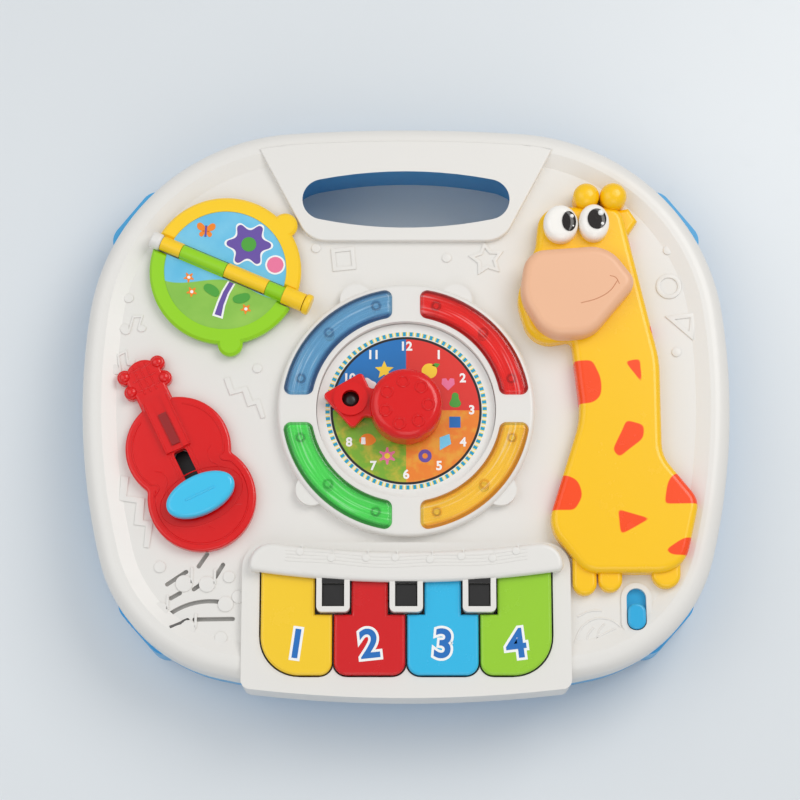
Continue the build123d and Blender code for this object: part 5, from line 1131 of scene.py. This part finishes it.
class TABLE_OT_hand_trim(bpy.types.Operator):
    """Raised rings on the knob, and a black stepped dish in the pointer's eye as painted shade down
    its hole
    """

    bl_idname = "table.hand_trim"
    bl_label = "Clock hand trim"

    def execute(self, context):
        rings = []
        for i in range(KNOB_RINGS):
            place = clock_place(KNOB_RING_REACH, POINTER_TURN + 30 + 360 * i / KNOB_RINGS)
            bpy.ops.mesh.primitive_torus_add(
                location=metres(*place, KNOB_TOP - 0.05), major_radius=KNOB_RING_RADIUS * MM,
                minor_radius=KNOB_RING_BEAD * MM, major_segments=28, minor_segments=10,
            )
            rings.append(context.object)
        finish_piece(joined(rings), "knob_rings", "clock_hand", MADE["red_gloss"])
        # Painted shade: a black dish fills the pointer's eye, which shows dark down the hole
        place = clock_place(POINTER_EYE_REACH, POINTER_TURN)
        raise_disc(place, POINTER_WELL, POINTER_EYE_RADIUS, POINTER_EYE_THICK, 32)
        for rise in (1.2, 0.5):
            bpy.ops.mesh.inset(thickness=POINTER_EYE_STEP * MM, depth=rise * MM)
        black = MADE["black_satin"]
        finish_piece(context.object, "pointer_eye", "clock_hand", black)
        return {"FINISHED"}


# ---- Picture book ----------------------------------------------------------------------------
BLOOM = (6.0, 19.0)
BUTTERFLY = (-19.5, 16.5)
BUD = (24.6, 14.0)
STEM_LEAVES = (((11.0, -14.0), 24), ((2.6, -15.0), 156))
DAISIES = ((-17.0, -12.0), (-12.0, -19.0), (20.0, -16.0))


class TABLE_OT_page_pictures(bpy.types.Operator):
    """Printed sky, hill and flower on the two pages"""

    bl_idname = "table.page_pictures"
    bl_label = "Page pictures"

    def execute(self, context):
        finish = Finish("page_card", 0.35, Coat_Weight=0.2, Coat_Roughness=0.2)
        x, y = finish.split(BOOK)
        c, s = cos(radians(BOOK_TURN)), sin(radians(BOOK_TURN))
        along = x * c + y * s
        across = y * c - x * s
        streak = finish.noise(60.0, 3.0)
        sky = finish.mix(streak, srgb(64, 178, 224), srgb(140, 212, 240))
        grass = finish.mix(streak, srgb(116, 182, 56), srgb(160, 208, 84))
        wave = finish.maths("SINE", along * 0.11 + 1.2)
        hill = finish.below(across - wave * 3.2 - along * 0.25, -9.0, 0.3)
        card = finish.surface(finish.mix(hill, sky, grass), 0.35, tone=0.02, peel=0.02)
        dress(card, "page_picture_upper", "page_picture_lower")

        def drawn(name, page, colour, layer, loop, smooth=True):
            page = "page_" + page
            print_layer(
                name, [on_book(loop)], PICTURE_TOP, layer, page, colour, (0,) if smooth else ()
            )

        drawn("bloom_edge", "upper", "white", 1, spot(ring_of(6, 13.8, 20, 9.6), BLOOM))
        drawn("bloom_petals", "upper", "purple", 2, spot(ring_of(6, 12.6, 20, 8.4), BLOOM))
        drawn("bloom_middle", "upper", "leaf", 3, round_of(4.2, BLOOM))
        wing = [(0.3, 0.3), (1.6, 3.6), (4.4, 4.6), (5.2, 2.4), (3.0, 0.2)]
        tail = [(0.3, -0.3), (2.6, -0.4), (3.6, -2.0), (2.4, -3.4), (0.9, -2.2)]
        for i, part in enumerate((wing, tail, mirrored(wing), mirrored(tail)), 1):
            drawn("butterfly_wing_%d" % i, "upper", "orange", 1, spot(part, BUTTERFLY, 20))
        body = [(-0.5, -3.4), (0.5, -3.4), (0.6, 3.2), (-0.6, 3.2)]
        drawn("butterfly_body", "upper", "purple", 2, spot(body, BUTTERFLY, 20), False)
        drawn("bud_edge", "upper", "white", 1, round_of(5.6, BUD))
        drawn("bud", "upper", "pink", 2, round_of(4.6, BUD))
        edge = [
            (4.0, -5.2), (8.6, -5.2), (8.0, -12.0), (8.6, -19.0), (10.4, -26.4), (4.2, -27.0),
            (3.4, -19.0), (3.2, -12.0),
        ]
        stem = [
            (5.0, -5.2), (7.6, -5.2), (7.0, -12.0), (7.5, -19.0), (9.0, -25.4), (5.2, -25.8),
            (4.5, -19.0), (4.3, -12.0),
        ]
        drawn("stem_edge", "lower", "white", 1, edge, False)
        drawn("stem", "lower", "purple", 2, stem, False)
        leaf = [(0, 0), (4.0, 3.2), (9.6, 2.2), (5.6, -2.0)]
        for i, (place, turn) in enumerate(STEM_LEAVES, 1):
            drawn("stem_leaf_%d" % i, "lower", "leaf", 3, spot(leaf, place, turn))
        for i, place in enumerate(DAISIES, 1):
            drawn("daisy_%d" % i, "lower", "orange", 1, spot(ring_of(5, 3.0, 0, 1.6), place))
            drawn("daisy_eye_%d" % i, "lower", "white", 2, round_of(0.9, place))
        return {"FINISHED"}


# Name, slot, material, both ends along the hinge, and radius
HINGE_CAPS = (
    ("hinge_cap_left", "white_shell", "white_plastic", -45.4, -39.35, 4.7),
    ("hinge_cap_right", "yellow_plastic", "page_yellow", 48.75, 52.6, 5.9),
)
CAP_ROUND = 1.2


class TABLE_OT_hinge_caps(bpy.types.Operator):
    """White and yellow caps on the ends of the book's hinge"""

    bl_idname = "table.hinge_caps"
    bl_label = "Hinge caps"

    def execute(self, context):
        for name, slot, material, start, end, radius in HINGE_CAPS:
            place = on_book([((start + end) / 2, 0)])[0]
            bpy.ops.mesh.primitive_cylinder_add(
                vertices=48, radius=radius * MM, depth=(end - start) * MM,
                location=metres(*place, PAGE_PIN), rotation=(0, radians(90), radians(BOOK_TURN)),
            )
            bpy.ops.object.mode_set(mode="EDIT")
            bpy.ops.mesh.select_all(action="DESELECT")
            bpy.ops.mesh.select_mode(type="EDGE")
            bpy.ops.mesh.edges_select_sharp(sharpness=radians(60))
            bpy.ops.mesh.bevel(offset=CAP_ROUND * MM, segments=4)
            finish_piece(context.object, name, "table", MADE[material])
        return {"FINISHED"}


# ---- Violin ----------------------------------------------------------------------------------
LOWER_BOUT = 26.0
UPPER_BOUT = 25.4
BOUT_GAP = 31.0
NECK_HALF = 10.5
SOUND_HOLE = ((17.2, 24.6), (13.6, 21.2), (13.2, 16.6), (15.8, 12.0), (15.0, 8.4))
STRINGS_X = (-6.6, -5.0, 5.0, 6.6)
STRING_ENDS = (29.6, 10.0, -3.0)
RING_HALVES = (24.2, 15.0)
RING_TICKS = (((-3.4, -16.6), (-1.0, -19.4)), ((15.4, -12.0), (18.6, -13.4)))
LATTICE_X = (-3.6, 0.0, 3.6)
LATTICE_Y = (69.5, 75.5, 81.5)
GROOVE = (-2.2, 33.0, 2.2, 52.0)
FINGERBOARD_HALF = 6.9
FINGERBOARD_ENDS = (30.6, 46.0, 61.4)
PEGS = ((-10.0, 71.0), (10.0, 71.0), (-10.0, 80.5), (10.0, 80.5))
PEG_RADIUS = 3.0
PEG_FLATNESS = 0.6


def violin_border():
    """Lines of the raised border: both bouts and the corners at the waist."""
    waist = (BOUT_GAP ** 2 + LOWER_BOUT ** 2 - UPPER_BOUT ** 2) / (2 * BOUT_GAP)
    half = (LOWER_BOUT ** 2 - waist ** 2) ** 0.5
    start = degrees(atan2(waist, half))
    lower = arc_of(LOWER_BOUT, 0.0, range(int(180 - start) + 4, int(360 + start) - 3, 10))
    top = degrees(atan2(waist - BOUT_GAP, half))
    neck = degrees(atan2((UPPER_BOUT ** 2 - NECK_HALF ** 2) ** 0.5, NECK_HALF))
    right = arc_of(UPPER_BOUT, BOUT_GAP, range(int(top) + 6, int(neck), 9))
    corner = [lower[-1], (half - 1.6, waist), right[0]]
    return [lower, right, mirrored(right), corner, mirrored(corner)]


class TABLE_OT_violin_trim(bpy.types.Operator):
    """Raised border, sound holes, strings, scroll and pegs of the violin"""

    bl_idname = "table.violin_trim"
    bl_label = "Violin trim"

    def execute(self, context):
        bead = size_of("bead")

        def beads(name, paths, height, share, closed=()):
            paths = [on_violin(path) for path in paths]
            red_piece(bead_curve(paths, height, bead * share, closed), name)

        beads("violin_border", violin_border(), VIOLIN_TOP, 0.75)
        lines = [SOUND_HOLE, mirrored(SOUND_HOLE)]
        lines += [[(x, y) for y in STRING_ENDS] for x in STRINGS_X]
        beads("violin_lines", lines, VIOLIN_TOP - BEAD_SINK, 0.5)
        angles = [radians(a) for a in range(0, 360, 20)]
        ring = [(RING_HALVES[0] * cos(a), RING_HALVES[1] * sin(a) + 0.2) for a in angles]
        beads("slider_ring", [ring, *RING_TICKS], VIOLIN_TOP - 0.15, 0.5, closed=(0,))
        lattice = [[(x, 66.5), (x, 75.0), (x, 83.5)] for x in LATTICE_X]
        lattice += [[(-6.6, y), (0, y), (6.6, y)] for y in LATTICE_Y]
        beads("scroll_lattice", lattice, VIOLIN_TOP - 0.05, 0.8)
        # Painted shade: a darker red sheet over the fingerboard's groove stands for the shade in it
        groove = on_violin(oblong(*GROOVE))
        piece = flat_curve([groove], FINGERBOARD_TOP - 1.0, FINGERBOARD_TOP + 0.1)
        shade = plastic("red_shade", srgb(150, 2, 4), 0.6)
        finish_piece(piece, "fingerboard_groove", "table", shade)
        edge = [(FINGERBOARD_HALF, y) for y in FINGERBOARD_ENDS]
        beads("fingerboard_edges", [mirrored(edge), edge], FINGERBOARD_TOP - BEAD_SINK, 0.9)
        places = [(*place, VIOLIN_TOP) for place in on_violin(PEGS)]
        domes = joined([ball(place, PEG_RADIUS, 24, 12) for place in places])
        domes.scale[2] = PEG_FLATNESS
        red_piece(domes, "peg_domes")
        return {"FINISHED"}


SLOT_SHADE = (-10.0, -15.0, 10.0, 39.5)
SHADE_THICK = 0.3
GRIP_HALF = 8.6
GRIP_BEAD = 0.7


class TABLE_OT_slot_shade(bpy.types.Operator):
    """Black sheet on the slider's board: painted shade seen down the slot"""

    bl_idname = "table.slot_shade"
    bl_label = "Slot shade"

    def execute(self, context):
        # Painted shade: the board seen down the slot is covered in black
        outline = on_violin(oblong(*SLOT_SHADE))
        piece = flat_curve([outline], SLIDER_BOARD_TOP, SLIDER_BOARD_TOP + SHADE_THICK)
        finish_piece(piece, "slot_shade", "table", ink("black"))
        return {"FINISHED"}


class TABLE_OT_slider_grip(bpy.types.Operator):
    """Raised line along the slider"""

    bl_idname = "table.slider_grip"
    bl_label = "Slider grip"

    def execute(self, context):
        line = on_violin([(x, SLIDER_REST) for x in (-GRIP_HALF, 0.0, GRIP_HALF)])
        piece = bead_curve([line], SLIDER_TOP - BEAD_SINK, GRIP_BEAD)
        gloss = MADE["slider_gloss"]
        finish_piece(piece, "slider_grip", "violin_slider", gloss)
        return {"FINISHED"}


# ---- Giraffe ---------------------------------------------------------------------------------
SMILE = ((97.0, 53.6), (106.0, 56.2), (113.2, 60.6), (117.6, 66.6))
CHEEK = ((113.4, 69.4), (116.6, 68.2), (118.6, 64.6))
# X, Y, radius and height of the light spots on the eyes
GLINTS = (
    (92.9, 104.8, 1.2, 73.9), (93.4, 99.2, 0.8, 73.6),
    (109.2, 106.6, 1.7, 74.2), (110.0, 100.4, 1.1, 73.9),
)


class TABLE_OT_giraffe_face(bpy.types.Operator):
    """Smile and cheek fold as darker peach lines of painted shade in their creases, and the glints of
    the eyes
    """

    bl_idname = "table.giraffe_face"
    bl_label = "Giraffe's face"

    def execute(self, context):
        # Painted shade: the smile and cheek fold are darker peach, as the shade in their creases
        piece = bead_curve([SMILE, CHEEK], MUZZLE_TOP - 0.15, 0.3)
        crease = plastic("muzzle_crease", srgb(206, 138, 100), 0.45)
        finish_piece(piece, "smile", "table", crease)
        glints = joined([ball((x, y, z), radius, 20, 10) for x, y, radius, z in GLINTS])
        finish_piece(glints, "eye_glints", "table", ink("white"))
        return {"FINISHED"}


# ---- Panel and running order -----------------------------------------------------------------
STEPS = (
    TABLE_OT_stage, TABLE_OT_plastics, TABLE_OT_giraffe_coat, TABLE_OT_lenses, TABLE_OT_hardware,
    TABLE_OT_deck_shapes, TABLE_OT_leaf_relief, TABLE_OT_sound_relief, TABLE_OT_well_corners,
    TABLE_OT_sharp_backs, TABLE_OT_key_figures, TABLE_OT_hood_relief, TABLE_OT_dial_print,
    TABLE_OT_dial_figures, TABLE_OT_hand_trim, TABLE_OT_page_pictures, TABLE_OT_hinge_caps,
    TABLE_OT_violin_trim, TABLE_OT_slot_shade, TABLE_OT_slider_grip, TABLE_OT_giraffe_face,
)


class TABLE_PT_pieces(bpy.types.Panel):
    """Lists the table's settings and pieces"""

    bl_idname = "TABLE_PT_pieces"
    bl_label = "Activity table"
    bl_space_type = "VIEW_3D"
    bl_region_type = "UI"
    bl_category = "Activity table"

    def draw(self, context):
        for group in (context.scene.table_colours, context.scene.table_sizes):
            for name in group.__annotations__:
                self.layout.prop(group, name)
        for step in STEPS:
            self.layout.operator(step.bl_idname)


CLASSES = (TableColours, TableSizes, *STEPS, TABLE_PT_pieces)


def register():
    for made in CLASSES:
        bpy.utils.register_class(made)
    bpy.types.Scene.table_colours = PointerProperty(type=TableColours)
    bpy.types.Scene.table_sizes = PointerProperty(type=TableSizes)


def unregister():
    del bpy.types.Scene.table_colours
    del bpy.types.Scene.table_sizes
    for made in reversed(CLASSES):
        bpy.utils.unregister_class(made)


def main():
    register()
    for step in STEPS:
        group, name = step.bl_idname.split(".")
        getattr(getattr(bpy.ops, group), name)()


if __name__ == "__main__":
    main()
